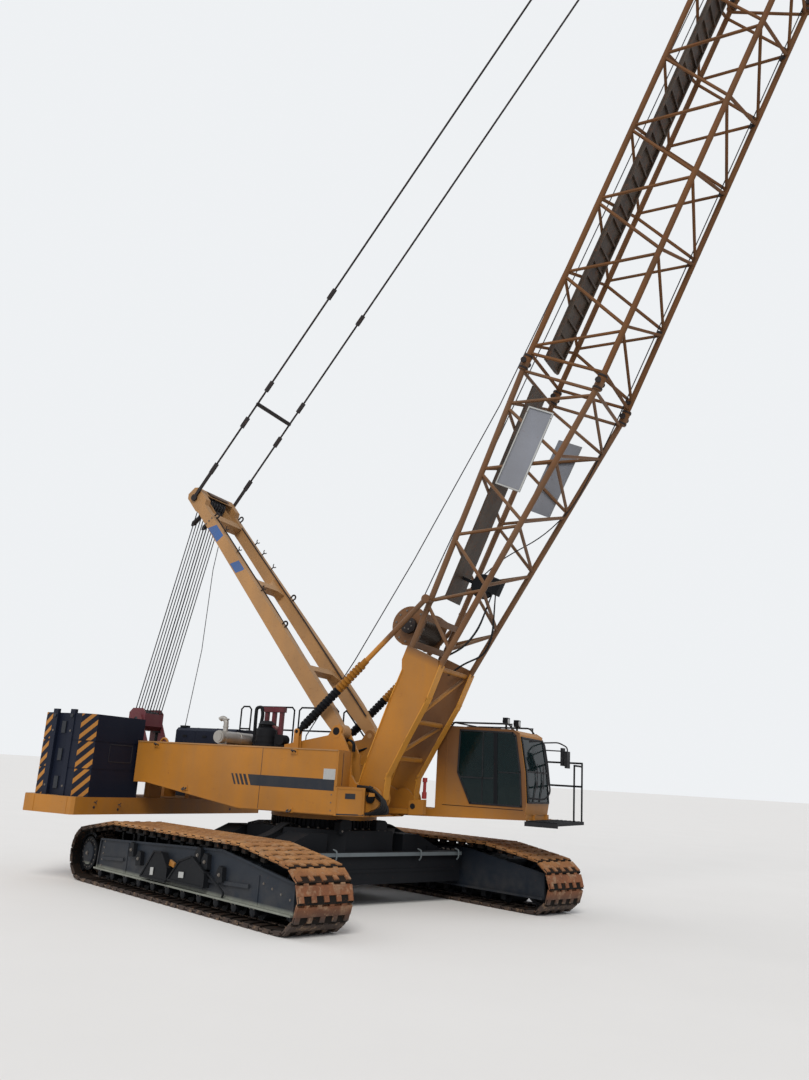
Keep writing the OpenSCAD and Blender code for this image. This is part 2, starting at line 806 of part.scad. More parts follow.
// Front face of the cab above its knee
function front_x(z) = lerp(cab_front - 40, cab_front - 160, (z - 2450) / 670);
module cab_inside() {
  polygon([
    [cab_rear + cab_wall, cab_z + 70], [cab_rear + cab_wall, 3120],
    [cab_rear + cab_wall + 40, 3178], [roof_front - 20, 3138], [cab_front - 205, 3080],
    [cab_front - 40 - cab_wall, 2440], [cab_front - cab_wall, 1895],
    [cab_front - cab_wall - 25, cab_z + 70]
  ]);
}
module side_window(grow) {
  polygon([
    [2390 - grow, 3145 + grow], [2370 - grow, 2380], [2640 - grow, 1855 - grow],
    [cab_front - 110 + grow, 1855 - grow], [cab_front - 148 + grow, 2440],
    [cab_front - 248 + grow, 3075 + grow / 2], [roof_front - 20, 3120 + grow]
  ]);
}
door_x0 = 2480;
door_x1 = 3200;
door_z0 = 1760;
door_z1 = 3080;
door_travel = 560;
module cab_shell() {
  color(yellow) {
    difference() {
      side_plate(cab_y0, cab_y1) cab_outline();
      side_plate(cab_y0 + cab_wall, cab_y1 - cab_wall) cab_inside();
      side_plate(cab_y0 - 1, cab_y0 + cab_wall + 1) side_window(0);
      // door opening and the small window ahead of it
      side_plate(cab_y1 - cab_wall - 1, cab_y1 + 1) {
        translate([door_x0 + 40, door_z0 + 40])
          square([door_x1 - door_x0 - 80, door_z1 - door_z0 - 80]);
        polygon([[3290, 1890], [cab_front - 100, 1890], [cab_front - 138, 2440],
          [cab_front - 225, 3040], [3290, 3040]]);
      }
      // front and rear windows
      translate([cab_front - 350, cab_y0 + 80, 1900]) cube([500, cab_y1 - cab_y0 - 160, 1160]);
      translate([cab_rear - 10, cab_y0 + 200, 2350])
        cube([cab_wall + 20, cab_y1 - cab_y0 - 400, 650]);
    }
    // rails of the sliding door
    translate([cab_rear, cab_y1 - 1, door_z0 - 40]) cube([door_x1 - cab_rear + 40, 46, 20]);
    translate([cab_rear, cab_y1 - 1, door_z1 + 20]) cube([door_x1 - cab_rear + 40, 46, 20]);
  }
}
module cab_glass() {
  color([0.10, 0.16, 0.16, 0.6]) {
    side_plate(cab_y0 - glass_t, cab_y0) side_window(20);
    side_plate(cab_y1, cab_y1 + glass_t)
      polygon([[3270, 1870], [cab_front - 80, 1870], [cab_front - 118, 2440],
        [cab_front - 207, 3060], [3270, 3060]]);
    side_plate(cab_y0 + 30, cab_y1 - 30)
      polygon([
        [cab_front, 1900], [cab_front + glass_t, 1900], [cab_front - 40 + glass_t, 2450],
        [cab_front - 152 + glass_t, 3080], [cab_front - 152, 3080], [cab_front - 40, 2450]
      ]);
    translate([cab_rear - glass_t, cab_y0 + 170, 2320])
      cube([glass_t, cab_y1 - cab_y0 - 340, 710]);
  }
}
module cab_door() {
  color(yellow) {
    difference() {
      translate([door_x0, cab_y1 + move_gap, door_z0 - 20 + touch])
        cube([door_x1 - door_x0, 34, door_z1 - door_z0 + 40 - 2 * touch]);
      translate([door_x0 + 80, cab_y1, door_z0 + 250])
        cube([door_x1 - door_x0 - 160, 100, door_z1 - door_z0 - 340]);
    }
    translate([door_x1 - 60, cab_y1 + move_gap + 33, door_z0 + 90]) cube([25, 30, 220]);
  }
}
module cab_door_glass() {
  color([0.10, 0.16, 0.16, 0.6])
    translate([door_x0 + 60, cab_y1 + move_gap + 34, door_z0 + 230])
      cube([door_x1 - door_x0 - 120, glass_t, door_z1 - door_z0 - 300]);
}
module cab_interior() {
  floor_z = cab_z + 70;
  mid_y = (cab_y0 + cab_y1) / 2;
  color(black) {
    translate([2330, mid_y - 180, floor_z]) cube([400, 360, 260]);
    translate([2260, mid_y - 260, floor_z + 259]) cube([560, 520, 150]);
    side_plate(mid_y - 250, mid_y + 250)
      polygon([[2260, floor_z + 400], [2390, floor_z + 400], [2280, floor_z + 1050],
        [2180, floor_z + 1040]]);
    for (s = [-1, 1])
      translate([2400, mid_y + s * 360 - 60, floor_z]) cube([560, 120, 520]);
    translate([cab_front - 370, mid_y - 300, floor_z]) cube([150, 600, 420]);
  }
}

// Platform under the cab, the walkway beside it, the step ahead of it and the guard rails
walk_y = 2540;
walk_z = 1600;
step_front = cab_front + 580;
module cab_platform() {
  color(yellow) {
    for (y = [cab_y0, side_y - 120])
      side_plate(y, y + 120)
        polygon([[side_front, side_front_z], [cab_front, 1600], [cab_front, cab_z], [side_front, cab_z]]);
    side_plate(cab_y1 - 100, cab_y1)
      polygon([[cab_rear, 1560], [cab_front, 1600], [cab_front, cab_z], [cab_rear, cab_z]]);
    translate([side_front + 300, cab_y0 + 1, 1600]) cube([120, side_y - cab_y0 - 2, cab_z - 1601]);
    for (x = [cab_rear + 100, 2700, cab_front - 160])
      translate([x, cab_y0 + 1, 1600]) cube([120, cab_y1 - cab_y0 - 2, cab_z - 1601]);
    translate([cab_rear, cab_y1 - 1, walk_z - 40])
      cube([cab_front - cab_rear, walk_y - cab_y1 + 1, 40]);
  }
}
module cab_rails() {
  top = walk_z + 1090;
  mid = walk_z + 650;
  foot = walk_z + touch;
  y = walk_y - 25;
  x1 = step_front - 40;
  color(black) {
    translate([cab_front + touch, cab_y0, walk_z - 60])
      cube([step_front - cab_front, walk_y - cab_y0, 60]);
    pipe_run([[2000, y, foot], [2000, y, top], [x1, y, top], [x1, y, walk_z - 10]], rail_r);
    rod([2000, y, mid], [x1, y, mid], rail_r);
    rod([3220, y, foot], [3220, y, top], rail_r);
    pipe_run([[x1, y, top - 60], [x1, cab_y1 - 150, top - 60], [x1, cab_y1 - 150, walk_z - 10]], rail_r);
    // roof rails and lamps
    for (y2 = [cab_y0 + 60, cab_y1 - 60]) {
      rod([2150, y2, roof_z(2135)], [2150, y2, 3300], 12);
      rod([3380, y2, roof_z(3365)], [3380, y2, 3300], 12);
      rod([2140, y2, 3300], [3390, y2, 3300], 12);
    }
    for (y2 = [cab_y0 + 250, cab_y1 - 450]) {
      translate([3150, y2 - 70, roof_z(3150)]) cube([110, 140, 20]);
      translate([3180, y2 - 15, roof_z(3150) + 10]) cube([30, 30, 110]);
      translate([3150, y2 - 75, 3300]) cube([90, 150, 130]);
    }
  }
}
module cab_mirrors() {
  y0 = cab_y1 - 27;
  x0 = front_x(2860) + touch;
  color(black) {
    side_plate(y0, y0 + 25)
      polygon([[x0, 2860], [front_x(2940) + touch, 2940], [x0 + 25, 2940], [x0 + 25, 2860]]);
    rod([x0 + 20, y0 + 12, 2900], [x0 + 340, y0 + 140, 2900], 12);
    translate([x0 + 320, y0 + 50, 2620]) cube([40, 180, 340]);
  }
}

// Boom: drawn lying along +X from the foot pin, with +Z to its back
module place_boom() {
  translate([foot_x, 0, foot_z]) rotate([0, -boom_angle, 0]) children();
}
function boom_world(l, n) = [
  foot_x + l * cos(boom_angle) - n * sin(boom_angle),
  foot_z + l * sin(boom_angle) + n * cos(boom_angle)
];
insert_1_l0 = base_l;
insert_2_l0 = base_l + insert_l;
top_l0 = base_l + 2 * insert_l;
// Rows of a section's outline: length, half width, back offset, front offset
leg_end = 2600;
base_rows = [
  [leg_end, lerp(foot_y, chord_y, leg_end / base_l), 560, -110],
  [base_l, chord_y, chord_n, -chord_n]
];
taper_l = 29400;
head_l0 = boom_l - 1100;
top_rows = [
  [top_l0 + touch, chord_y, chord_n, -chord_n],
  [taper_l, chord_y, chord_n, -chord_n],
  [head_l0, 500, 560, -240]
];
function rows_of(l0) = [
  [l0 + touch, chord_y, chord_n, -chord_n],
  [l0 + insert_l, chord_y, chord_n, -chord_n]
];
function row_at(rows, l, i = 0) =
  i + 2 < len(rows) && l > rows[i + 1][0]
    ? row_at(rows, l, i + 1)
    : lerp(rows[i], rows[i + 1], (l - rows[i][0]) / (rows[i + 1][0] - rows[i][0]));
// Chord centre: side is -1 right or 1 left, face is 1 back or -1 front
function chord_point(rows, l, side, face) =
  let (r = row_at(rows, l)) [l, side * r[1], face > 0 ? r[2] : r[3]];

module chords(rows, short = 0) {
  for (i = [0 : len(rows) - 2], side = [-1, 1], face = [-1, 1])
    rod(chord_point(rows, rows[i][0], side, face),
        chord_point(rows, rows[i + 1][0] - short, side, face), chord_r, 32, atan2(side, -face));
}
module chord_ends(rows, l, dir) {
  for (side = [-1, 1], face = [-1, 1]) {
    p = chord_point(rows, l, side, face);
    rod(p, p + [dir * 150, 0, 0], chord_r + 27, 32);
  }
}
// Zigzag lacing on all four faces; the right back and left front chords carry the joints
// that start at the first place when start is 0, or at the second when it is 1
toe_gap = 48;
module lacing(rows, l0, pitch, spaces, start) {
  for (k = [0 : spaces - 1]) {
    low = l0 + pitch * k + toe_gap;
    high = l0 + pitch * (k + 1) - toe_gap;
    a = (k + start) % 2 == 0 ? low : high;
    b = (k + start) % 2 == 0 ? high : low;
    for (side = [-1, 1]) {
      joint_a = chord_point(rows, a, side, -side);
      rod(joint_a, chord_point(rows, b, side, side), lace_r, 6);
      rod(joint_a, chord_point(rows, b, -side, -side), lace_r, 6);
    }
  }
}
module end_frame(rows, l) {
  for (side = [-1, 1]) {
    rod(chord_point(rows, l, side, 1), chord_point(rows, l, side, -1), lace_r, 6);
    rod(chord_point(rows, l, -1, side), chord_point(rows, l, 1, side), lace_r, 6);
  }
}
joint_gap = 290;
frame_gap = 100;
module insert_section(l0) {
  rows = rows_of(l0);
  pitch = (insert_l - 2 * joint_gap) / insert_spaces;
  chords(rows);
  chord_ends(rows, l0 + touch, 1);
  chord_ends(rows, l0 + insert_l, -1);
  lacing(rows, l0 + joint_gap, pitch, insert_spaces, 0);
  end_frame(rows, l0 + joint_gap - frame_gap);
  end_frame(rows, l0 + insert_l - joint_gap + frame_gap);
}
module boom_insert_lower() { color(brown_yellow) place_boom() insert_section(insert_1_l0); }
module boom_insert_upper() { color(brown_yellow) place_boom() insert_section(insert_2_l0); }

base_pitch = 652.5;
base_spaces = 8;
foot_boss_half = (web_out - web_in) / 2 - web_t - 5;
foot_mid = (web_in + web_out) / 2;
leg_splay = atan((chord_y - foot_y) / base_l);
function leg_y(l) = lerp(foot_y, chord_y, l / base_l);
knee_l = 3600;
module leg_outline() {
  polygon([
    [-110, 150], [60, 385], [520, 437], [1670, 497], [2200, 505], [2420, 610], [2700, 620],
    [2700, -60], [2580, -140], [1980, -160], [1170, -90], [450, -40], [120, -150]
  ]);
  circle(r = 190, $fn = 48);
}
module boom_leg() {
  translate([0, foot_y, 0])
    rotate([0, 0, leg_splay])
      side_plate(-leg_t / 2, leg_t / 2) leg_outline();
  y_cyl(0, 0, 180, foot_mid - foot_boss_half, foot_mid + foot_boss_half);
  y_cyl(0, 0, foot_pin_r - pin_gap, web_in + 2, web_out - 2);
  // pin boss for the backstop
  k = row_at(base_rows, knee_l);
  y_cyl(knee_l, k[2], 60, k[1] - 20, backstop_y - stop_rod_r - move_gap, 32);
}
module boom_base() {
  rows = base_rows;
  color(yellow)
    place_boom() {
      both_sides() boom_leg();
      chords(rows, 12);
      chord_ends(rows, base_l, -1);
      lacing(rows, base_l - 210 - base_pitch * base_spaces, base_pitch, base_spaces, 1);
      end_frame(rows, base_l - 165);
      // cross tubes and diagonals between the legs
      for (p = [[770, 40], [1520, -30], [2560, 520], [2560, -60]])
        rod([p.x, -leg_y(p.x), p.y], [p.x, leg_y(p.x), p.y], 45, 12);
      rod([770, -leg_y(770), 40], [1520, leg_y(1520), -30], 38, 8);
      rod([1520, -leg_y(1520), -30], [2560, leg_y(2560), -60], 38, 8);
      // bearers of the hoist winch
      for (l = winch_feet)
        strut([l - 60, row_at(rows, l)[2]], [l + 60, row_at(rows, l)[2]], 0,
              2 * row_at(rows, l)[1], bearer_h);
    }
}
winch_l = 3020;
winch_n = 900;
winch_disc_r = 370;
winch_drum_r = 235;
winch_plate_y = 455;
winch_feet = [2760, 3300];
bearer_h = 90;
function bearer_top(i) = row_at(base_rows, winch_feet[i])[2] + bearer_h / 2 + touch;
module hoist_winch() {
  color(yellow)
    place_boom()
      for (s = [-1, 1])
        side_plate(s * winch_plate_y - 12, s * winch_plate_y + 12) {
          difference() {
            translate([winch_l, winch_n]) circle(r = winch_disc_r, $fn = 64);
            translate([winch_l - 500, winch_n - 500]) square([1000, 240]);
          }
          polygon([
            [winch_feet[0] - 50, bearer_top(0)], [winch_feet[0] + 70, bearer_top(0)],
            [winch_feet[1] - 70, bearer_top(1)], [winch_feet[1] + 50, bearer_top(1)],
            [winch_feet[1] + 90, winch_n], [winch_feet[0] - 120, winch_n]
          ]);
        }
  color(grey)
    place_boom()
      y_cyl(winch_l, winch_n, winch_drum_r, -winch_plate_y, winch_plate_y, 64);
}

module boom_walkway() {
  t = 40;
  w = 660;
  color(brown_yellow)
    place_boom() {
      side_plate(-w / 2, w / 2)
        polygon([
          for (l = [3750, base_l - 230]) [l, row_at(base_rows, l)[2] - lace_r - touch - t],
          for (l = [base_l - 230, 3750]) [l, row_at(base_rows, l)[2] - lace_r - touch]
        ]);
      translate([base_l + 320, -w / 2, chord_n - lace_r - touch - t])
        cube([taper_l - base_l - 500, w, t]);
    }
}
sign_l = 1530;
sign_h = 510;
sign_t = 12;
module boom_signs() {
  color(white)
    place_boom()
      both_sides()
        translate([0, foot_y, 0])
          rotate([0, 0, leg_splay])
            translate([6020, lace_r * cos(30) + touch, -200]) cube([sign_l, sign_t, sign_h]);
}
reel_l = 4250;
module boom_cable_reel() {
  under = row_at(base_rows, reel_l - 30)[2] - lace_r - 2 * touch - 40;
  color(black)
    place_boom() {
      y_cyl(reel_l, 80, 210, -30, 30, 48);
      y_cyl(reel_l, 80, 230, -48, -30, 48);
      y_cyl(reel_l, 80, 230, 30, 48, 48);
      translate([reel_l - 60, -90, -260]) cube([300, 180, 200]);
      translate([reel_l - 30, 48, -100]) cube([60, 20, under + 100 - 14]);
      translate([reel_l - 30, -20, under - 15]) cube([60, 88, 15]);
    }
}

// Boom head: side plates, pendant pin, head shaft
head_shaft_l = boom_l - 300;
head_shaft_n = -550;
head_plate_y = 500;
head_plate_t = 30;
pendant_pin_l = boom_l - 600;
pendant_pin_n = 700;
pendant_pin_r = 45;
module head_outline() {
  polygon([
    [head_l0 - 150, -330], [head_shaft_l - 250, -640], [head_shaft_l, -690],
    [head_shaft_l + 140, -550], [boom_l - 60, -250], [boom_l - 300, 350],
    [pendant_pin_l + 100, pendant_pin_n], [pendant_pin_l - 100, pendant_pin_n + 20],
    [head_l0 - 150, 640]
  ]);
  translate([pendant_pin_l, pendant_pin_n]) circle(r = 100, $fn = 48);
  translate([head_shaft_l, head_shaft_n]) circle(r = 140, $fn = 48);
}
top_spaces = 9;
module boom_top() {
  rows = top_rows;
  pitch = (head_l0 - 100 - top_l0 - joint_gap) / top_spaces;
  color(brown_yellow)
    place_boom() {
      chords(rows);
      chord_ends(rows, top_l0 + touch, 1);
      lacing(rows, top_l0 + joint_gap, pitch, top_spaces, 0);
      end_frame(rows, top_l0 + joint_gap - frame_gap);
      // collars over the chords' bend
      for (side = [-1, 1], face = [-1, 1]) {
        p = chord_point(rows, taper_l, side, face);
        rod(p - [70, 0, 0], p + [70, 0, 0], chord_r + 12, 32, atan2(side, -face));
      }
      both_sides()
        side_plate(head_plate_y - head_plate_t / 2, head_plate_y + head_plate_t / 2)
          difference() {
            head_outline();
            translate([head_shaft_l, head_shaft_n]) circle(r = 60, $fn = 48);
            translate([pendant_pin_l - 30, 420]) circle(r = 50, $fn = 48);
          }
      y_cyl(pendant_pin_l, pendant_pin_n, pendant_pin_r, -pendant_y - 50, pendant_y + 50);
      // cross plates of the head
      translate([head_l0 - 100, -head_plate_y, 560]) cube([300, 2 * head_plate_y, 30]);
      translate([head_l0 - 100, -head_plate_y, -200]) cube([350, 2 * head_plate_y, 30]);
      rod([head_l0 + 300, -head_plate_y, 150], [head_l0 + 300, head_plate_y, 150], 70, 32);
    }
}
sheave_t = 60;
sheave_pitch = 110;
flange_h = 25;
module sheave(r, bore = 0) {
  rotate([90, 0, 0])
    rotate_extrude($fn = 96)
      polygon([
        [bore, -sheave_t / 2], [r + flange_h, -sheave_t / 2], [r + flange_h, -24], [r, -14],
        [r, 14], [r + flange_h, 24], [r + flange_h, sheave_t / 2], [bore, sheave_t / 2]
      ]);
}
module sheave_set() {
  for (i = [0 : head_sheaves_n - 1])
    translate([0, (i - (head_sheaves_n - 1) / 2) * sheave_pitch, 0]) sheave(head_r);
}
module head_sheaves() {
  color(maroon)
    place_boom() {
      translate([head_shaft_l, 0, head_shaft_n]) sheave_set();
      y_cyl(head_shaft_l, head_shaft_n, 60 - touch, -head_plate_y - 15, head_plate_y + 15);
      y_cyl(head_shaft_l, head_shaft_n, 110, touch + 15 - head_plate_y, head_plate_y - 15 - touch);
      // guide sheave for the hoist rope on the back
      y_cyl(pendant_pin_l - 30, 420, 50 - touch, -head_plate_y - 15, head_plate_y + 15);
      translate([pendant_pin_l - 30, 0, 420]) sheave(200);
    }
}

// Mast: drawn lying along +X from its foot pin, with +Z to its rear side
module place_mast() {
  translate([mast_x, 0, mast_z]) rotate([0, -mast_angle, 0]) children();
}
mast_tip = [mast_x + mast_l * cos(mast_angle), mast_z + mast_l * sin(mast_angle)];
mast_splay = -atan((mast_foot_y - mast_tip_y) / mast_l);
mast_leg_t = 150;
mast_head_l = mast_l - 620;
function mast_half_y(l) = lerp(mast_foot_y, mast_tip_y, l / mast_l);
head_w = 212;
module mast_leg_outline() {
  low = mast_leg_h / 2;
  high = low * 0.75;
  polygon([
    [0, -105], [700, -low], [1700, -low], [mast_l - 1100, -high], [mast_l - 330, -high],
    [mast_l - 260, -head_w], [mast_l + 130, -head_w], [mast_l + head_w, -130],
    [mast_l + head_w, 80], [mast_l + 130, 150], [mast_l - 280, 150], [mast_l - 350, high],
    [mast_l - 1100, high], [1700, low], [700, low], [0, 105]
  ]);
  circle(r = 110, $fn = 48);
}
module mast_leg() {
  translate([0, mast_foot_y, 0])
    rotate([0, 0, mast_splay])
      side_plate(-mast_leg_t / 2, mast_leg_t / 2) mast_leg_outline();
  y_cyl(0, 0, 130, web_in + web_t + 5, web_out - web_t - 5);
  y_cyl(0, 0, mast_pin_r - pin_gap, web_in + 2, web_out - 2);
}
// Beam between the legs, with arms that widen towards them by up and down
module mast_beam(l, h, up = 0, down = 0) {
  y = mast_half_y(l);
  y_up = mast_half_y(l + h / 2 + up);
  y_down = mast_half_y(l - h / 2 - down);
  translate([0, 0, -h / 2])
    linear_extrude(h)
      polygon([
        [l - h / 2, y - 260], [l - h / 2 - down, y_down], [l + h / 2 + up, y_up], [l + h / 2, y - 330],
        [l + h / 2, 330 - y], [l + h / 2 + up, -y_up], [l - h / 2 - down, -y_down], [l - h / 2, 260 - y]
      ]);
}
module mast() {
  color(pale_tan)
    place_mast() {
      both_sides() mast_leg();
      mast_beam(1550, 140, 0, 170);
      mast_beam(3900, 160, 330, 120);
      mast_beam(mast_head_l, 200);
      // guard over the head sheaves
      side_plate(-mast_tip_y + 65, mast_tip_y - 65)
        translate([mast_l, 0])
          difference() {
            octagon_outline(210, 210, 87);
            octagon_outline(196, 196, 81);
            polygon([[0, 0], [376, 137], [376, 400], [-400, 400], [-400, -400], [-137, -376]]);
          }
      // bearings of the head sheaves
      for (s = [-1, 1])
        side_plate(s * (block_half_y - 8) - 12, s * (block_half_y - 8) + 12)
          difference() {
            union() {
              polygon([
                [mast_head_l - 60, -95], [mast_l, -100], [mast_l, 100], [mast_head_l - 60, 95]
              ]);
              translate([mast_l, 0]) circle(r = 100, $fn = 48);
            }
            translate([mast_l, 0]) circle(r = block_shaft_r, $fn = 48);
          }
    }
}

// Pendants from the boom head to the mast tip, with links and a spreader
pendant_pin = boom_world(pendant_pin_l, pendant_pin_n);
pendant_vec = pendant_pin - mast_tip;
pendant_len = norm(pendant_vec);
pendant_angle = atan2(pendant_vec.y, pendant_vec.x);
link_t = 36;
// Joints along a pendant from the mast tip
link_joints = [780, 2000, 2950, 5360, 14400, 23400];
spreader_s = 2490;
module pendants() {
  color(brown_yellow)
    translate([mast_tip.x, 0, mast_tip.y])
      rotate([0, -pendant_angle, 0]) {
        both_sides() {
          side_plate(pendant_y - link_t / 2, pendant_y + link_t / 2) {
            circle(r = 75, $fn = 48);
            translate([0, -35]) square([link_joints[0], 70]);
          }
          translate([0, pendant_y, 0]) rod([link_joints[0], 0, 0], [pendant_len - 300, 0, 0], pendant_r, 12);
          for (s = link_joints)
            translate([s - 130, pendant_y - link_t / 2, -50]) cube([260, link_t, 100]);
          side_plate(pendant_y - link_t / 2, pendant_y + link_t / 2)
            difference() {
              union() {
                translate([pendant_len, 0]) circle(r = 80, $fn = 48);
                translate([pendant_len - 350, -40]) square([350, 80]);
              }
              translate([pendant_len, 0]) circle(r = pendant_pin_r + 2 * pin_gap, $fn = 48);
            }
        }
        rod([spreader_s, -pendant_y, 0], [spreader_s, pendant_y, 0], 45, 12);
      }
}

// Luffing ropes: half the falls from the rear block, half from the mast tip
fall_vec = mast_tip - [-block_x, block_z];
fall_angle = atan2(fall_vec.y, fall_vec.x);
fall_len = norm(fall_vec);
luff_pitch = 88;
rope_clear = 2 * rope_r + 6;
module luff_falls(shift) {
  for (i = [0 : luff_sheaves - 1]) {
    y = (i - (luff_sheaves - 1) / 2) * luff_pitch;
    for (s = [-1, 1])
      rod([0, y + shift, s * luff_r], [luff_half_l, y + shift, s * luff_r], rope_r, 8);
    y_cyl(0, 0, luff_r + 22, y - 24, y + 24, 48);
  }
  y_cyl(0, 0, block_shaft_r - pin_gap, -block_half_y - 25, block_half_y + 25);
}
module luffing_ropes_lower() {
  color(grey)
    place_block() rotate([0, -fall_angle, 0]) luff_falls(-rope_clear / 2);
}
module luffing_ropes_upper() {
  color(grey)
    translate([mast_tip.x, 0, mast_tip.y])
      rotate([0, 180 - fall_angle, 0]) luff_falls(rope_clear / 2);
}

// Backstops: tubes on the deck, rods that slide in them
knee = boom_world(knee_l, row_at(base_rows, knee_l)[2]);
stop_vec = knee - [backstop_x, backstop_z];
stop_len = norm(stop_vec);
stop_angle = atan2(stop_vec.y, stop_vec.x);
tube_l0 = 120;
tube_l = 1900;
stop_rod_r = 48;
stop_rod_in = 1190;
rib_pitch = 75;
module place_backstops() {
  translate([backstop_x, 0, backstop_z])
    rotate([0, -stop_angle, 0])
      both_sides()
        translate([0, backstop_y, 0]) children();
}
module backstop_tubes() {
  color(black)
    place_backstops() {
      difference() {
        union() {
          translate([tube_l0, 0, 0]) rotate([0, 90, 0]) cylinder(r = 62, h = tube_l - tube_l0, $fn = 48);
          translate([0, -backstop_eye_half, -40]) cube([tube_l0 + 10, 2 * backstop_eye_half, 80]);
          for (s = [160 : rib_pitch : tube_l - 100])
            translate([s, 0, 0]) rotate([0, 90, 0]) cylinder(r = 84, h = 38, $fn = 48);
        }
        translate([tube_l0 + 30, 0, 0])
          rotate([0, 90, 0]) cylinder(r = stop_rod_r + 1, h = tube_l, $fn = 48);
      }
      y_cyl(0, 0, 55, -backstop_eye_half, backstop_eye_half);
      y_cyl(0, 0, backstop_pin_r - pin_gap, -backstop_eye_half - 25, backstop_eye_half + 25);
    }
}
module backstop_rods() {
  color(yellow)
    place_backstops() {
      translate([tube_l - stop_rod_in, 0, 0])
        rotate([0, 90, 0]) cylinder(r = stop_rod_r, h = stop_len - tube_l + stop_rod_in - 70, $fn = 48);
      y_cyl(stop_len, 0, 80, -backstop_eye_half, backstop_eye_half);
    }
}

// Hook block under the head sheaves
head_pin = boom_world(head_shaft_l, head_shaft_n);
fall_x = head_r + rope_r + touch;
cheek_y = (head_sheaves_n - 1) / 2 * sheave_pitch + sheave_t / 2 + 10;
module place_hook() { translate([head_pin.x, 0, head_pin.y - fall_l]) children(); }
module hoist_falls() {
  color(grey)
    place_hook()
      for (i = [0 : head_sheaves_n - 1], s = [-1, 1]) {
        y = (i - (head_sheaves_n - 1) / 2) * sheave_pitch;
        rod([s * fall_x, y, 0], [s * fall_x, y, fall_l], rope_r, 12);
      }
}
shank_r = 55;
yoke_z = -430;
module hook_block() {
  color(yellow)
    place_hook() {
      for (s = [-1, 1])
        side_plate(s * cheek_y - 10, s * cheek_y + 10)
          difference() {
            union() {
              circle(r = 370, $fn = 64);
              polygon([[-330, -100], [-140, yoke_z - 110], [140, yoke_z - 110], [330, -100]]);
            }
            circle(r = 60, $fn = 48);
          }
      difference() {
        translate([-110, -cheek_y, yoke_z - 70]) cube([220, 2 * cheek_y, 140]);
        translate([0, 0, yoke_z - 100]) cylinder(r = shank_r + 2 * pin_gap, h = 200, $fn = 48);
      }
    }
  color(maroon)
    place_hook() {
      sheave_set();
      y_cyl(0, 0, 60, -cheek_y - 10, cheek_y + 10);
    }
}
prong_r = 48;
prong_bend = 130;
module hook() {
  color(black)
    place_hook() {
      translate([0, 0, yoke_z + 70 + touch]) cylinder(r = 85, h = 27, $fn = 48);
      translate([0, 0, yoke_z - 330]) cylinder(r = shank_r, h = 400 + touch + 10, $fn = 48);
      both_sides()
        translate([0, prong_bend, yoke_z - 330])
          rotate([90, 0, -90])
            rotate_extrude(angle = 215, $fn = 64)
              translate([prong_bend, 0]) circle(r = prong_r, $fn = 32);
    }
}

carbody();
slew_ring();
track_frame_right();
track_frame_left();
track_right();
track_left();
rollers_right();
rollers_left();
idlers();
sprockets();
travel_drives();
main_frame();
side_body_right();
side_body_left();
engine_hood();
engine();
counterweight_tray();
counterweight_right();
counterweight_left();
rear_gantry();
rear_rope_block();
deck_winches();
muffler();
air_cleaner();
rope_guide_frame();
deck_rails();
cab_shell();
cab_glass();
cab_interior();
cab_platform();
cab_rails();
cab_mirrors();
cab_door();
cab_door_glass();
boom_base();
boom_insert_lower();
boom_insert_upper();
boom_top();
head_sheaves();
boom_walkway();
boom_signs();
boom_cable_reel();
hoist_winch();
mast();
pendants();
luffing_ropes_lower();
luffing_ropes_upper();
backstop_tubes();
backstop_rods();
hoist_falls();
hook_block();
hook();
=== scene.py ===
import json
import math
import bmesh
import bpy
from mathutils import Matrix, Vector


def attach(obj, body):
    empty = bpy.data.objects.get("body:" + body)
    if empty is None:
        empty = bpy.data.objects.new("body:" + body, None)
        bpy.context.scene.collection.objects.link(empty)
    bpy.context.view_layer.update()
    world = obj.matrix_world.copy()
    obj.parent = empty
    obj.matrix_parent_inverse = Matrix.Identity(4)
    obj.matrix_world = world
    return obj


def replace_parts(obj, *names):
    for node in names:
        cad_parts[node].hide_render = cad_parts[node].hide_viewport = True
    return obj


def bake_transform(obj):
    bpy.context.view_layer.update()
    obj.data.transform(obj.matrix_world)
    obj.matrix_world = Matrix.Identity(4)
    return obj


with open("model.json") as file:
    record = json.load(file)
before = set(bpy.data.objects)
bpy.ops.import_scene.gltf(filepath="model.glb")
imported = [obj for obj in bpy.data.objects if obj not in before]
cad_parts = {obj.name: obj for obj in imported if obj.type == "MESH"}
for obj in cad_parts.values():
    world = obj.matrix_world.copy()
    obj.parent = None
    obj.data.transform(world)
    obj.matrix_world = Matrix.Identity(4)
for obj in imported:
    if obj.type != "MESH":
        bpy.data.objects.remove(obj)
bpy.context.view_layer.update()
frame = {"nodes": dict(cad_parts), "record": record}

# ---------------------------------------------------------------- sizes shared with the frame
X, Y, Z = Vector((1, 0, 0)), Vector((0, 1, 0)), Vector((0, 0, 1))
SIDES = (-1, 1)
YAW = math.radians(-19.35)
BOOM_LEAN, MAST_LEAN = math.radians(66), math.radians(130.6)
TURN = Matrix.Rotation(YAW, 3, "Z")
BOOM_TURN, MAST_TURN = Matrix.Rotation(-BOOM_LEAN, 3, "Y"), Matrix.Rotation(-MAST_LEAN, 3, "Y")
BOOM_FOOT, MAST_FOOT = Vector((1.43, 0.0, 1.83)), Vector((0.62, 0.0, 2.97))
BOOM_X, BOOM_Z = BOOM_TURN @ X, BOOM_TURN @ Z
MAST_X, MAST_Z = MAST_TURN @ X, MAST_TURN @ Z
TRACK_X, TRACK_Y = TURN @ X, TURN @ Y
MAST_L = 6.5
MAST_TIP = MAST_FOOT + MAST_TURN @ Vector((MAST_L, 0, 0))
DECK_Z, SIDE_Y = 2.62, 1.47
FOOT_Y, CHORD_Y, CHORD_N = 0.60, 0.863, 0.76
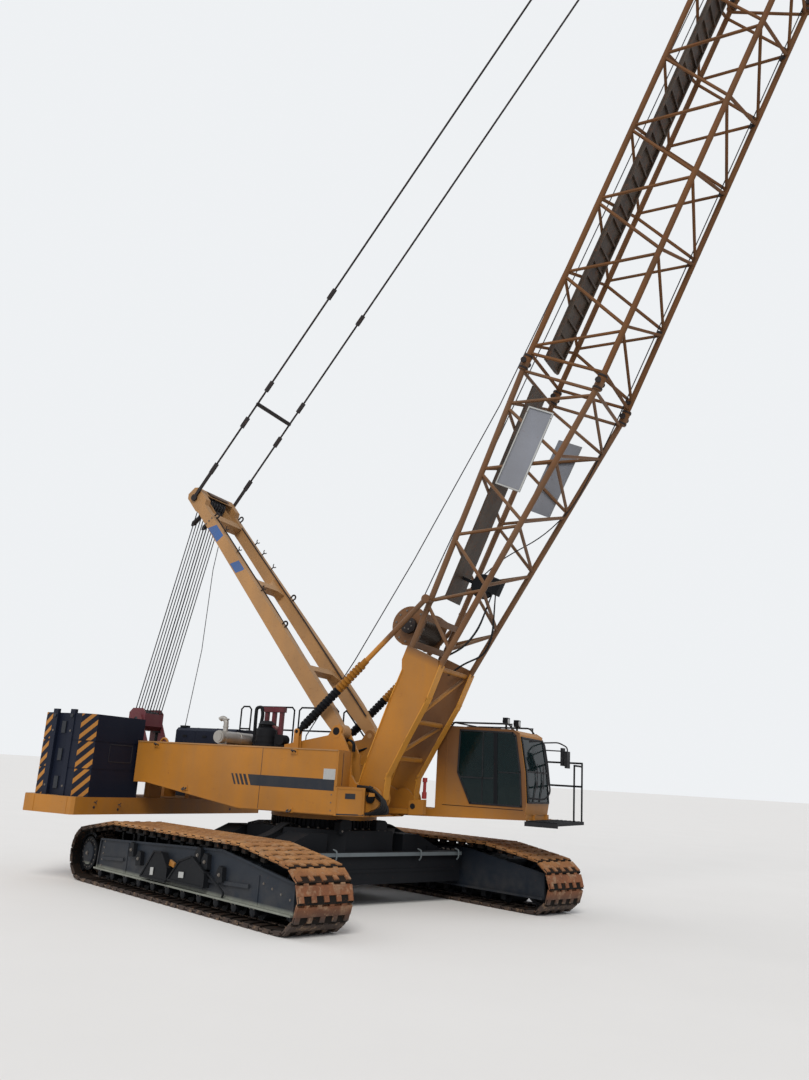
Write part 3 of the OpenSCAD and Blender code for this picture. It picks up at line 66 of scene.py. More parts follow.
BASE_L, INSERT_L, BOOM_L, KNEE_L = 8.33, 9.0, 34.0, 2.62
JOINTS = [BASE_L + k * INSERT_L for k in range(3)]


def on_boom(l, y, n):
    """A point given along the boom, across it, and towards its back."""
    return BOOM_FOOT + BOOM_TURN @ Vector((l, y, n))


def on_mast(l, y, n):
    return MAST_FOOT + MAST_TURN @ Vector((l, y, n))


def on_track(x, y, z):
    """A point of the undercarriage, before it is turned under the upper works."""
    return TURN @ Vector((x, y, z))


def mid(a, b, share=0.5):
    return a + (b - a) * share


# ---------------------------------------------------------------- shader maths
def operator(operation, swapped=False):
    def method(self, *others):
        values = (self, *others)
        return self.maths(operation, *(values[::-1] if swapped else values))
    return method


class Val:
    """A number or colour that varies over a surface: a socket whose operators add Math nodes."""

    def __init__(self, finish, socket):
        self.finish, self.socket = finish, socket

    def maths(self, operation, *values, clamp=False):
        return self.finish.node("Math", {"operation": operation, "use_clamp": clamp},
                                dict(enumerate(values)))

    __add__ = __radd__ = operator("ADD")
    __sub__, __rsub__ = operator("SUBTRACT"), operator("SUBTRACT", swapped=True)
    __mul__ = __rmul__ = operator("MULTIPLY")
    abs, sine, most = operator("ABSOLUTE"), operator("SINE"), operator("MAXIMUM")

    def above(self, edge, soft=0.0):
        """0 below the edge, 1 above it, over a band of width soft."""
        if not soft:
            return self.maths("GREATER_THAN", self, edge)
        return self.maths("DIVIDE", self - (edge - soft / 2), soft, clamp=True)

    def below(self, edge, soft=0.0):
        return 1.0 - self.above(edge, soft)


class Finish:
    """The nodes of one material or world. node() makes every node; surface() ends a material."""

    def __init__(self, owner):
        owner.use_nodes = True
        self.owner, self.tree, self.kept = owner, owner.node_tree, {}
        self.tree.nodes.clear()

    def node(self, kind, settings, values, out=0):
        made = self.tree.nodes.new("ShaderNode" + kind)
        for key, value in settings.items():
            setattr(made, key, value)
        for key, value in values.items():
            socket = made.inputs[key]
            if isinstance(value, Val):
                self.tree.links.new(value.socket, socket)
            elif value is not None:
                if hasattr(value, "__len__") and len(socket.default_value) > len(value):
                    value = (*value, 1.0)
                socket.default_value = value
        return Val(self, made.outputs[out]) if made.outputs else None

    def source(self, kind, out):
        """An output of a node without inputs, made once."""
        if (kind, out) not in self.kept:
            self.kept[kind, out] = self.node(kind, {}, {}, out=out)
        return self.kept[kind, out]

    def axis(self, letter, kind="TexCoord", out="Object"):
        if (kind, letter) not in self.kept:
            self.kept[kind, letter] = self.node("SeparateXYZ", {}, {0: self.source(kind, out)}, out=letter)
        return self.kept[kind, letter]

    def facing(self, letter):
        """How far a face looks along an axis: 1 along it, 0 across it, -1 against it."""
        return self.axis(letter, "NewGeometry", "Normal")

    def noise(self, scale, detail=4.0, rough=0.55, stretch=None):
        where = self.source("TexCoord", "Object")
        if stretch:
            where = self.node("VectorMath", {"operation": "MULTIPLY"}, {0: where, 1: stretch})
        return self.node("TexNoise", {}, {"Vector": where, "Scale": scale, "Detail": detail,
                                          "Roughness": rough}, out="Fac")

    def mix(self, share, a, b):
        """Colour a where share is 0, b where it is 1."""
        return self.node("Mix", {"data_type": "RGBA"}, {0: share, 6: a, 7: b}, out=2)

    def along_boom(self):
        return ((self.axis("X") - BOOM_FOOT.x) * math.cos(BOOM_LEAN)
                + (self.axis("Z") - BOOM_FOOT.z) * math.sin(BOOM_LEAN))

    def surface(self, colour, rough, metal=0.0, height=None, depth=0.002, alpha=1.0, shine=0.5):
        normal = None
        if height is not None:
            normal = self.node("Bump", {}, {"Height": height, "Strength": 1.0, "Distance": depth})
        shader = self.node("BsdfPrincipled", {}, {
            "Base Color": colour, "Roughness": rough, "Metallic": metal, "Normal": normal,
            "Alpha": alpha, "Specular IOR Level": shine})
        self.node("OutputMaterial", {}, {"Surface": shader})
        return self.owner


def shade(colour, share, lift=0.0):
    return tuple(min(1.0, c * share + lift) for c in colour)


RUST = (0.15, 0.055, 0.022)
BROWN = (0.150, 0.062, 0.018)
BLACK, BLACK_DUST = (0.0035, 0.0045, 0.0065), (0.035, 0.034, 0.032)
YELLOW = (0.40, 0.158, 0.014)


def painted(name, colour, dirt=0.35, rust=0.12, gloss=0.42, fade=0.12, dust=(0.30, 0.24, 0.17), chips=0.5,
            region=None, shine=0.35):
    """Machine paint: faded patches, rain streaks, dust on ledges, rust where it is chipped."""
    f = Finish(bpy.data.materials.new(name))
    streak = f.noise(3.0, 4, stretch=(1.0, 1.0, 0.12))
    fine = f.noise(22.0, 6, 0.65)
    base = f.mix(f.noise(0.7, 3).above(0.5, 0.5), shade(colour, 0.80), shade(colour, 1 + fade, 0.004))
    if region:
        base = region(f, base)
    grime = (streak.above(0.52, 0.28) * 0.7 + fine.above(0.55, 0.3) * 0.3) * dirt
    base = f.mix(grime, base, shade(dust, 0.45))
    ledge = f.facing("Z").above(0.55, 0.5) * (0.35 + f.noise(5.0, 5) * 0.6) * min(1.0, dirt * 1.8)
    base = f.mix(ledge, base, dust)
    chip = f.noise(9.0, 8, 0.72) * 0.55 + f.noise(38.0, 5, 0.7) * 0.45
    rusty = chip.above(0.63 - rust * 0.25, 0.05) * chips
    base = f.mix(rusty, base, RUST)
    rough = gloss + fine * 0.16 + ledge * 0.3 + rusty * 0.25
    bump = fine * 0.25 + chip * 0.4 - rusty * 0.5
    return f.surface(base, rough, 0.0, bump, 0.0015, shine=shine)


def boom_tone_and_shade(f, base):
    """The boom's tubes are a browner yellow than the legs under them; the legs' inner faces are darkened to a rusty
    brown, rust in part and painted shade in part.
    """
    along, off_middle = f.along_boom(), f.axis("Y").abs()
    tubes = along.above(KNEE_L, 0.16) * off_middle.below(1.3)
    # painted shade: leg faces that look inward, towards the boom's middle, are darkened to brown
    inward = (f.axis("Y") * f.facing("Y")).below(-0.1, 0.1) * along.above(0.6, 0.8) * off_middle.below(0.86)
    base = f.mix(inward * 0.9, base, (0.115, 0.044, 0.013))
    return f.mix(tubes, base, f.mix(f.noise(1.5, 4).above(0.5, 0.4), BROWN, shade(BROWN, 0.72)))


def half_gaiter(f, base):
    """A backstop's gaiter is black for its lower part only; the tube above it is yellow."""
    along = (f.axis("X") + 0.15) * 0.701 + (f.axis("Z") - 2.93) * 0.713
    return f.mix(along.above(1.14, 0.02), base, f.mix(f.noise(2.0), (0.31, 0.125, 0.014), (0.24, 0.100, 0.014)))


def dusty_ledge(f, base):
    """Pale dried mud along the lower ledge of a side frame, thinner above it."""
    height = f.axis("Z")
    ledge = height.above(0.272, 0.01) * height.below(0.33, 0.05) * (0.45 + f.noise(7.0, 5) * 0.8)
    thin = height.below(0.62, 0.5) * f.noise(3.0, 6).above(0.48, 0.2) * 0.35
    base = f.mix(thin, base, (0.060, 0.055, 0.050))
    outside = (f.axis("Y") * math.cos(YAW) - f.axis("X") * math.sin(YAW)).abs().above(2.95)
    return f.mix(ledge * outside, base, (0.23, 0.24, 0.20))


def cast_shoes(name):
    """Cast shoes, rusty: golden brown on the upper run and red brown lower down round the front; near black behind
    and below, which is painted shade.
    """
    f = Finish(bpy.data.materials.new(name))
    along, height = f.axis("X") * math.cos(YAW) + f.axis("Y") * math.sin(YAW), f.axis("Z")
    patch, grain = f.noise(2.6, 5, 0.6), f.noise(30.0, 8, 0.7)
    golden = f.mix(patch.above(0.5, 0.3), (0.30, 0.125, 0.034), (0.43, 0.205, 0.066))
    red = f.mix(patch.above(0.5, 0.3), (0.150, 0.050, 0.018), (0.225, 0.082, 0.030))
    base = f.mix(height.below(0.86, 0.30), golden, red)
    # painted shade: the lower run and the rear end are darkened to near black
    dark = height.below(0.33, 0.22).most(along.below(-2.35, 0.9))
    base = f.mix(dark * 0.93, base, f.mix(patch, (0.020, 0.018, 0.017), (0.050, 0.042, 0.036)))
    base = f.mix(grain.above(0.52, 0.3) * 0.45, base, (0.055, 0.024, 0.012))
    mud = f.noise(6.0, 6, 0.6).above(0.58, 0.12) * (1.0 - dark * 0.6) * 0.5
    base = f.mix(mud, base, (0.30, 0.20, 0.12))
    rub = f.noise(12.0, 3).above(0.62, 0.1) * (1.0 - mud)
    base = f.mix(rub * 0.30, base, (0.48, 0.30, 0.17))
    return f.surface(base, 0.86 - rub * 0.3, rub * 0.3, grain * 0.6 + mud * 0.8, 0.004)


def steel(name, colour, rough=0.35, grease=0.3, metal=0.9):
    f = Finish(bpy.data.materials.new(name))
    lines = f.noise(60.0, 5)
    dirty = f.noise(4.0, 5).above(0.5, 0.3) * grease
    base = f.mix(lines * 0.5, shade(colour, 0.75), colour)
    base = f.mix(dirty, base, (0.10, 0.075, 0.055))
    return f.surface(base, rough + dirty * 0.4 + lines * 0.1, metal - dirty * 0.6, lines * 0.4, 0.0006)


def plastic(name, colour, rough=0.55):
    """Moulded plastic or rubber: fine grain, greyed where it is rubbed."""
    f = Finish(bpy.data.materials.new(name))
    worn = f.noise(5.0, 4).above(0.55, 0.3)
    base = f.mix(worn * 0.3, colour, shade(colour, 1.6, 0.02))
    return f.surface(base, rough + worn * 0.15, 0.0, f.noise(120.0, 3), 0.0004, shine=0.25)


def tinted_glass(name, tint):
    f = Finish(bpy.data.materials.new(name))
    film = f.noise(3.0, 4).above(0.5, 0.4) * 0.08 + 0.84
    base = f.mix(f.noise(1.2, 3), tint, shade(tint, 0.5))
    return f.surface(base, 0.06 + f.noise(4.0, 5).above(0.6, 0.2) * 0.12, alpha=film, shine=0.25)


def wire_rope(name, colour, pitch=0.09):
    """Laid wire: strands that wind round the rope, drawn as slanting bands along its length; the grooves between
    the strands are darkened as painted shade.
    """
    f = Finish(bpy.data.materials.new(name))
    wind = f.axis("Z") * (2 * math.pi / pitch) + (f.axis("X") + f.axis("Y")) * (3.4 * math.pi / pitch)
    strand = wind.sine() * 0.5 + 0.5
    # painted shade: the colour falls to under half in the grooves between the strands
    base = f.mix(strand, shade(colour, 0.45), colour)
    base = f.mix(f.noise(3.0, 4).above(0.5, 0.3) * 0.4, base, (0.02, 0.018, 0.016))
    return f.surface(base, 0.5 - strand * 0.1, 0.4, strand, 0.003)


FINISHES, SLOTS = {}, {}


def finish(kind, name, *look, slot=None, **more):
    """Makes a finish, and notes in SLOTS the slot of the record it belongs to: its own, or for trim another
    finish's.
    """
    FINISHES[name], SLOTS[name] = kind(name, *look, **more), slot or name


finish(painted, "yellow_paint", YELLOW, dirt=0.26, rust=0.08, region=boom_tone_and_shade)
finish(painted, "lattice_paint", BROWN, dirt=0.45, rust=0.30, gloss=0.6, dust=(0.12, 0.070, 0.040), chips=0.8,
       shine=0.2)
finish(painted, "navy_paint", (0.0045, 0.0075, 0.019), dirt=0.10, rust=0.0, dust=(0.050, 0.055, 0.065),
       chips=0.2, shine=0.18)
finish(painted, "frame_paint", (0.0075, 0.0125, 0.0210), dirt=0.16, rust=0.02, gloss=0.5,
       dust=(0.060, 0.062, 0.060), chips=0.4, region=dusty_ledge, shine=0.22)
finish(painted, "black_paint", BLACK, dirt=0.06, rust=0.02, gloss=0.55, dust=BLACK_DUST, chips=0.3, shine=0.15)
finish(painted, "maroon_paint", (0.105, 0.013, 0.021), dirt=0.25, rust=0.10)
finish(painted, "mast_paint", (0.34, 0.175, 0.062), dirt=0.24, rust=0.14, fade=0.2)
finish(cast_shoes, "shoe_steel")
finish(steel, "silver_sheet", (0.62, 0.60, 0.56), 0.32, grease=0.35)
finish(wire_rope, "rope_steel", (0.045, 0.045, 0.052))
finish(steel, "engine_casting", (0.30, 0.31, 0.33), 0.5, grease=0.6, metal=0.6)
finish(plastic, "cab_plastic", (0.012, 0.012, 0.014))
finish(tinted_glass, "window_glass", (0.004, 0.014, 0.015))
finish(painted, "sign_sheet", (0.20, 0.21, 0.24), dirt=0.22, rust=0.05, dust=(0.30, 0.28, 0.25))
# finishes of trim
finish(painted, "walkway_boards", (0.030, 0.017, 0.010), dirt=0.4, rust=0.3, chips=0.6, slot="lattice_paint")
finish(painted, "pendant_steel", (0.016, 0.012, 0.012), dirt=0.2, rust=0.15, dust=(0.05, 0.04, 0.035),
       shine=0.2, slot="lattice_paint")
finish(painted, "flange_paint", (0.56, 0.245, 0.028), dirt=0.15, rust=0.05, slot="yellow_paint")
finish(painted, "stripe_yellow", (0.40, 0.160, 0.016), dirt=0.2, rust=0.05, slot="yellow_paint")
finish(painted, "stripe_dark", (0.010, 0.015, 0.024), dirt=0.15, rust=0.02, slot="navy_paint")
finish(painted, "cover_brown", (0.045, 0.014, 0.012), dirt=0.3, rust=0.2, shine=0.2, slot="mast_paint")
finish(painted, "backstop_paint", BLACK, dirt=0.06, rust=0.02, gloss=0.55, dust=BLACK_DUST,
       region=half_gaiter, shine=0.15, slot="black_paint")
finish(painted, "patch_blue", (0.030, 0.095, 0.270), dirt=0.3, rust=0.05, slot="navy_paint")
finish(painted, "label_white", (0.42, 0.43, 0.42), dirt=0.3, rust=0.02, slot="sign_sheet")
finish(plastic, "hose_rubber", (0.009, 0.009, 0.010), 0.6, slot="cab_plastic")
finish(steel, "bare_bolts", (0.22, 0.20, 0.18), 0.45, grease=0.6, metal=0.7, slot="engine_casting")
finish(painted, "bar_grey", (0.105, 0.125, 0.135), dirt=0.3, rust=0.05, dust=(0.10, 0.10, 0.09),
       slot="frame_paint")
finish(wire_rope, "wound_rope", (0.050, 0.030, 0.016), slot="rope_steel")
# near-black painted shade for the floor of the slots between the shoes' teeth and for the lugs under the upper run
finish(painted, "joint_grease", (0.008, 0.007, 0.006), dirt=0.2, rust=0.2, gloss=0.8, dust=(0.05, 0.03, 0.02),
       shine=0.1, slot="black_paint")
finish(plastic, "lamp_glass", (0.35, 0.36, 0.36), 0.15, slot="silver_sheet")
finish(painted, "red_valve", (0.30, 0.012, 0.012), dirt=0.2, rust=0.05, slot="maroon_paint")
for entry in frame["record"]["subparts"]:
    mesh = frame["nodes"][entry["node"]].data
    mesh.materials.clear()
    mesh.materials.append(FINISHES[entry["material_slot"]])
for node, look in (("boom_walkway", "walkway_boards"), ("pendants", "pendant_steel"),
                   ("backstop_tubes", "backstop_paint")):
    frame["nodes"][node].data.materials[0] = FINISHES[look]


# ---------------------------------------------------------------- mesh helpers
def placed(name, data):
    made = bpy.data.objects.new(name, data)
    bpy.context.scene.collection.objects.link(made)
    return made


def arc(centre, u, v, radius, start, end, steps):
    u, v, centre = Vector(u), Vector(v), Vector(centre)
    return [centre + radius * (math.cos(a) * u + math.sin(a) * v)
            for a in (math.radians(start + (end - start) * i / steps) for i in range(steps + 1))]


def rounded(points, radius, steps=5):
    """A polyline with its inner corners rounded."""
    points = [Vector(p) for p in points]
    out = [points[0]]
    for a, b, c in zip(points, points[1:], points[2:]):
        into, away = (a - b).normalized(), (c - b).normalized()
        r = min(radius, (a - b).length * 0.45, (c - b).length * 0.45)
        for i in range(steps + 1):
            t = i / steps
            out.append((b + into * r) * (1 - t) ** 2 + b * 2 * t * (1 - t) + (b + away * r) * t ** 2)
    return out + [points[-1]]


def coil(place, x, z, radius, half, turns, steps):
    """Turns of rope on a drum that lies across the machine; place() turns (x, y, z) into a point."""
    count = turns * steps
    angles = [2 * math.pi * i / steps for i in range(count)]
    return [place(x + radius * math.cos(a), half * (2 * i / count - 1), z + radius * math.sin(a))
            for i, a in enumerate(angles)]


def rect(half_u, half_v):
    return [(-half_u, -half_v), (half_u, -half_v), (half_u, half_v), (-half_u, half_v)]


class Shapes:
    """Collects solids of one finish on one body, and joins them as one mesh."""

    def __init__(self):
        self.vertices, self.faces = [], []

    def add(self, vertices, faces):
        start = len(self.vertices)
        self.vertices += [tuple(v) for v in vertices]
        self.faces += [tuple(i + start for i in f) for f in faces]

    def box(self, centre, size, turn=Matrix.Identity(3)):
        corners = [Vector(centre) + turn @ Vector((x * size[0], y * size[1], z * size[2]))
                   for x in (-0.5, 0.5) for y in (-0.5, 0.5) for z in (-0.5, 0.5)]
        self.add(corners, ((0, 1, 3, 2), (4, 6, 7, 5), (0, 4, 5, 1), (2, 3, 7, 6), (0, 2, 6, 4), (1, 5, 7, 3)))

    def bar(self, a, b, normal, width, height, over=0.0):
        """A flat bar from a to b that stands up from a surface along its normal."""
        a, b = Vector(a), Vector(b)
        along = (b - a).normalized()
        n = Vector(normal).normalized()
        n = (n - along * n.dot(along)).normalized()
        turn = Matrix((along, n.cross(along), n)).transposed()
        self.box((a + b) / 2 + n * height / 2, ((b - a).length + over, width, height), turn)

    def bars(self, count, a, b, step, normal, width, height):
        """A row of like bars, each one step from the last."""
        for k in range(count):
            self.bar(Vector(a) + step * k, Vector(b) + step * k, normal, width, height)

    def lip(self, points, normal, width, height):
        for a, b in zip(points, points[1:]):
            self.bar(a, b, normal, width, height, width * 0.6)

    def rim(self, points, normal, width, height):
        """A lip round a closed outline."""
        self.lip([*points, points[0]], normal, width, height)

    def tube(self, points, radius, sides=16):
        """A tube along points; radius may be a list with one radius for each point."""
        points = [Vector(p) for p in points]
        rings, across = [], None
        last = len(points) - 1
        for i, p in enumerate(points):
            along = (points[min(i + 1, last)] - points[max(i - 1, 0)]).normalized()
            if across is None:
                across = along.orthogonal().normalized()
            across = (across - along * across.dot(along)).normalized()
            third = along.cross(across)
            r = radius[i] if isinstance(radius, list) else radius
            rings += [p + r * (math.cos(2 * math.pi * k / sides) * across
                               + math.sin(2 * math.pi * k / sides) * third) for k in range(sides)]
        faces = []
        for i in range(last):
            for k in range(sides):
                a, b = i * sides + k, i * sides + (k + 1) % sides
                faces.append((a, b, b + sides, a + sides))
        faces += [tuple(range(sides))[::-1], tuple(last * sides + k for k in range(sides))]
        self.add(rings, faces)

    def pipe(self, points, bend, radius, sides=10):
        """A tube along a polyline with rounded corners."""
        self.tube(rounded(points, bend), radius, sides)

    def stub(self, centre, axis, start, end, radius, sides=16):
        """A round bar along an axis, from start to end as measured from a centre."""
        self.tube([Vector(centre) + axis * start, Vector(centre) + axis * end], radius, sides)

    def plate(self, outline, origin, u, v, thickness):
        """An outline of (u, v) points, thickened from the origin's plane along u x v."""
        u, v, origin = Vector(u).normalized(), Vector(v).normalized(), Vector(origin)
        w = u.cross(v) * thickness
        n = len(outline)
        flat = [origin + u * a + v * b for a, b in outline]
        faces = [tuple(range(n))[::-1], tuple(range(n, 2 * n))]
        faces += [(i, (i + 1) % n, n + (i + 1) % n, n + i) for i in range(n)]
        self.add(flat + [p + w for p in flat], faces)

    def bolt(self, at, normal, size=0.018, height=0.012):
        """A hexagon head on a washer."""
        n = Vector(normal).normalized()
        self.stub(at, n, 0, height * 0.3, size * 1.35, 12)
        self.stub(at, n, height * 0.25, height, size, 6)

    def bolt_row(self, a, b, count, normal, size=0.014, height=0.010):
        for i in range(count):
            self.bolt(mid(a, b, i / (count - 1)), normal, size, height)

    def bolt_ring(self, centre, normal, radius, count, size=0.018, height=0.014):
        n = Vector(normal).normalized()
        u = n.orthogonal().normalized()
        for p in arc(centre, u, n.cross(u), radius, 0, 360 - 360 / count, count - 1):
            self.bolt(p, n, size, height)

    def eye(self, at, along, normal, size, thick):
        """A lifting eye: a bent bar whose two ends are welded on."""
        a, n = Vector(along).normalized(), Vector(normal).normalized()
        bend = arc(Vector(at) + n * size * 0.8, a, n, size * 0.62, 205, -25, 12)
        self.tube([Vector(at) - a * size * 0.55, *bend, Vector(at) + a * size * 0.55], thick, 8)

    def hook(self, at, along, normal, size):
        """A rope guide: a short stem with two horns."""
        a, n, p = Vector(along).normalized(), Vector(normal).normalized(), Vector(at)
        self.stub(p, n, 0, size * 0.7, size * 0.13, 8)
        self.tube(arc(p + n * size * 1.05, a, n, size * 0.42, 180, 360, 10), size * 0.10, 8)

    def make(self, name, look, body, smooth=35):
        mesh = bpy.data.meshes.new(name)
        mesh.from_pydata(self.vertices, [], self.faces)
        mesh.validate()
        made = placed(name, mesh)
        mesh.materials.append(FINISHES[look])
        tidy = bmesh.new()
        tidy.from_mesh(mesh)
        bmesh.ops.recalc_face_normals(tidy, faces=tidy.faces)
        tidy.to_mesh(mesh)
        tidy.free()
        mesh.shade_smooth()
        mesh.set_sharp_from_angle(angle=math.radians(smooth))
        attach(made, body)
        return made


waiting = []


def pieces(body, **looks):
    """One set of shapes for each piece of a body, given as name=finish, until make_pieces()."""
    for name, look in looks.items():
        waiting.append((Shapes(), name, look, body))
    return [entry[0] for entry in waiting]


def make_pieces():
    for shapes, *piece in waiting:
        shapes.make(*piece)
    waiting.clear()


# ---------------------------------------------------------------- camera
FOCAL_PIXELS, PHOTO_PIXELS, SENSOR_MM = 904.6, 1080, 36
azimuth, pitch, roll = math.radians(-27.95), math.radians(14.73), math.radians(3.49)
look = Vector((math.sin(azimuth) * math.cos(pitch), math.cos(azimuth) * math.cos(pitch), math.sin(pitch)))
right = Vector((math.cos(azimuth), -math.sin(azimuth), 0))
above = right.cross(look)
tilted_right = math.cos(roll) * right + math.sin(roll) * above
tilted_up = -math.sin(roll) * right + math.cos(roll) * above
camera_data = bpy.data.cameras.new("camera")
camera_data.lens = FOCAL_PIXELS / PHOTO_PIXELS * SENSOR_MM
camera_data.clip_end = 12000
camera = placed("camera", camera_data)
camera.matrix_world = Matrix.Translation((9.485, -15.31, 2.208)) @ Matrix(
    (tilted_right, tilted_up, -look)).transposed().to_4x4()
bpy.context.scene.camera = camera

# ---------------------------------------------------------------- track shoes
GAUGE, SHOE_W, SHOES, TEETH = 5.52, 0.99, 60, 9
END_X, END_R, PAD, RAIL, TOP_Z, TOP_HALF = 3.15, 0.49, 0.07, 0.025, 1.15, 2.05
PIN_R, TOP_PIN = END_R - PAD, TOP_Z - PAD
slope = Vector((TOP_HALF - END_X, TOP_PIN - END_R))
slope_turn = math.atan2(slope.y, slope.x) - math.acos(PIN_R / slope.length)
run_arc = PIN_R * (math.pi / 2 + slope_turn)
run_slope = math.sqrt(slope.length ** 2 - PIN_R ** 2)
loop_l = 2 * END_X + 2 * run_arc + 2 * run_slope + 2 * TOP_HALF


def round_end(angle):
    return Vector((END_X + PIN_R * math.cos(angle), END_R + PIN_R * math.sin(angle)))


def loop_point(s):
    """A point of the pin line, at length s from the middle of the bottom run."""
    if s >= loop_l - END_X:
        return Vector((s - loop_l, PAD))
    if s > loop_l / 2:
        p = loop_point(loop_l - s)
        return Vector((-p.x, p.y))
    if s < END_X:
        return Vector((s, PAD))
    s -= END_X
    if s < run_arc:
        return round_end(s / PIN_R - math.pi / 2)
    s -= run_arc
    if s < run_slope:
        return round_end(slope_turn).lerp(Vector((TOP_HALF, TOP_PIN)), s / run_slope)
    return Vector((TOP_HALF - (s - run_slope), TOP_PIN))


def track_shoes(name, side):
    """Cast shoes: a raised plate with square teeth that mesh with the next shoe over slots whose floor is painted
    shade.
    """
    pitch = loop_l / SHOES
    shoes, pockets = Shapes(), Shapes()
    w, half = SHOE_W / TEETH, SHOE_W / 2
    for i in range(SHOES):
        p, q = loop_point(i * pitch), loop_point((i + 1) * pitch if i < SHOES - 1 else 0.0)
        along = (q - p).normalized()
        out = Vector((along.y, -along.x))
        length = (q - p).length

        def block(s0, s1, y0, y1, h0, h1, taper=0.0, into=shoes):
            """A block along the shoe, across it and out of it, with its outer face tapered."""
            corners = []
            for h, k in ((h0, 0.0), (h1, taper)):
                for s, y in ((s0 + k, y0 + k), (s1 - k, y0 + k), (s1 - k, y1 - k), (s0 + k, y1 - k)):
                    flat = p + along * s + out * h
                    corners.append(on_track(flat.x, side * GAUGE / 2 + y, flat.y))
            into.add(corners, ((3, 2, 1, 0), (4, 5, 6, 7), (0, 1, 5, 4), (1, 2, 6, 5), (2, 3, 7, 6), (3, 0, 4, 7)))

        block(0.052, length - 0.052, -half, half, PAD - 0.040, PAD - 0.003, 0.006)
        block(0.030, length - 0.030, -half + 0.015, half - 0.015, -RAIL + 0.03, PAD - 0.038)
        # painted shade: a near-black sheet under the teeth and a strip at each joint make the slots read dark
        block(-0.045, length + 0.045, -half + 0.03, half - 0.03, -0.010, PAD - 0.058, into=pockets)
        block(-0.055, 0.055, -half + 0.012, half - 0.012, PAD - 0.060, PAD - 0.020, into=pockets)
        for k in range(TEETH):
            y0 = -half + k * w
            s0, s1, top = (length - 0.060, length - 0.020, PAD - 0.006) if k % 2 else (-0.034, 0.060, PAD - 0.001)
            block(s0, s1, y0 + 0.010, y0 + w - 0.010, PAD - 0.056, top, 0.005)
        for y0 in (-0.20, 0.14):
            block(0.02, length - 0.02, y0, y0 + 0.06, -RAIL, 0.035)
        # lugs under the upper run, near black as painted shade
        if p.y > 0.8 and q.y > 0.8 and abs(p.x) < 2.9:
            for y0 in (-0.46, -0.13, 0.07, 0.40):
                block(length * 0.3, length * 0.7, y0, y0 + 0.06, -RAIL - 0.045, 0.01, 0.004, into=pockets)
        for y0 in (-0.34, 0.31):
            block(length / 2 - 0.012, length / 2 + 0.012, y0, y0 + 0.03, PAD - 0.010, PAD - 0.0005, 0.004)
    pockets.make(name + "_joints", "joint_grease", "undercarriage", 30)
    return shoes.make(name, "shoe_steel", "undercarriage", 30)


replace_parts(track_shoes("right_track_shoes", -1), "track_right")
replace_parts(track_shoes("left_track_shoes", 1), "track_left")

# ---------------------------------------------------------------- side frames and drives
PLATE_Y, PLATE_REAR, PLATE_FRONT, LEDGE_Z = GAUGE / 2 + 0.37, -2.67, 3.40, 0.30
PLATE_EDGE = ((PLATE_REAR + 0.02, LEDGE_Z), (PLATE_REAR + 0.075, 0.79), (1.5, 0.97),
              (PLATE_FRONT - 0.02, 0.70), (PLATE_FRONT - 0.02, LEDGE_Z))
GUSSETS = (((-0.80, 0.35), (0.05, 0.35), (0.05, 0.56), (-0.175, 0.78), (-0.425, 0.78)),
           ((0.10, 0.39), (1.19, 0.39), (1.19, 0.605), (0.765, 0.81), (0.415, 0.71)))
GUSSET_OUT, GUSSET_DEPTH, ROLLER_Z = 0.1105, 0.112, 0.215
BRACKET = [(-0.09, -0.10), (0.07, -0.12), (0.10, 0.02), (0.03, 0.13), (-0.07, 0.11)]
SLIDE_BEAM = [(-2.25, 0.78), (1.35, 0.94), (1.35, 1.00), (-2.10, 1.00), (-2.25, 0.96)]
frame_trim, frame_black, frame_labels, frame_bolts, frame_yellow = pieces(
    "undercarriage", side_frame_lips="frame_paint", side_frame_castings="black_paint",
    bare_frame_labels="label_white", side_frame_bolts="bare_bolts", side_frame_chocks="stripe_yellow")
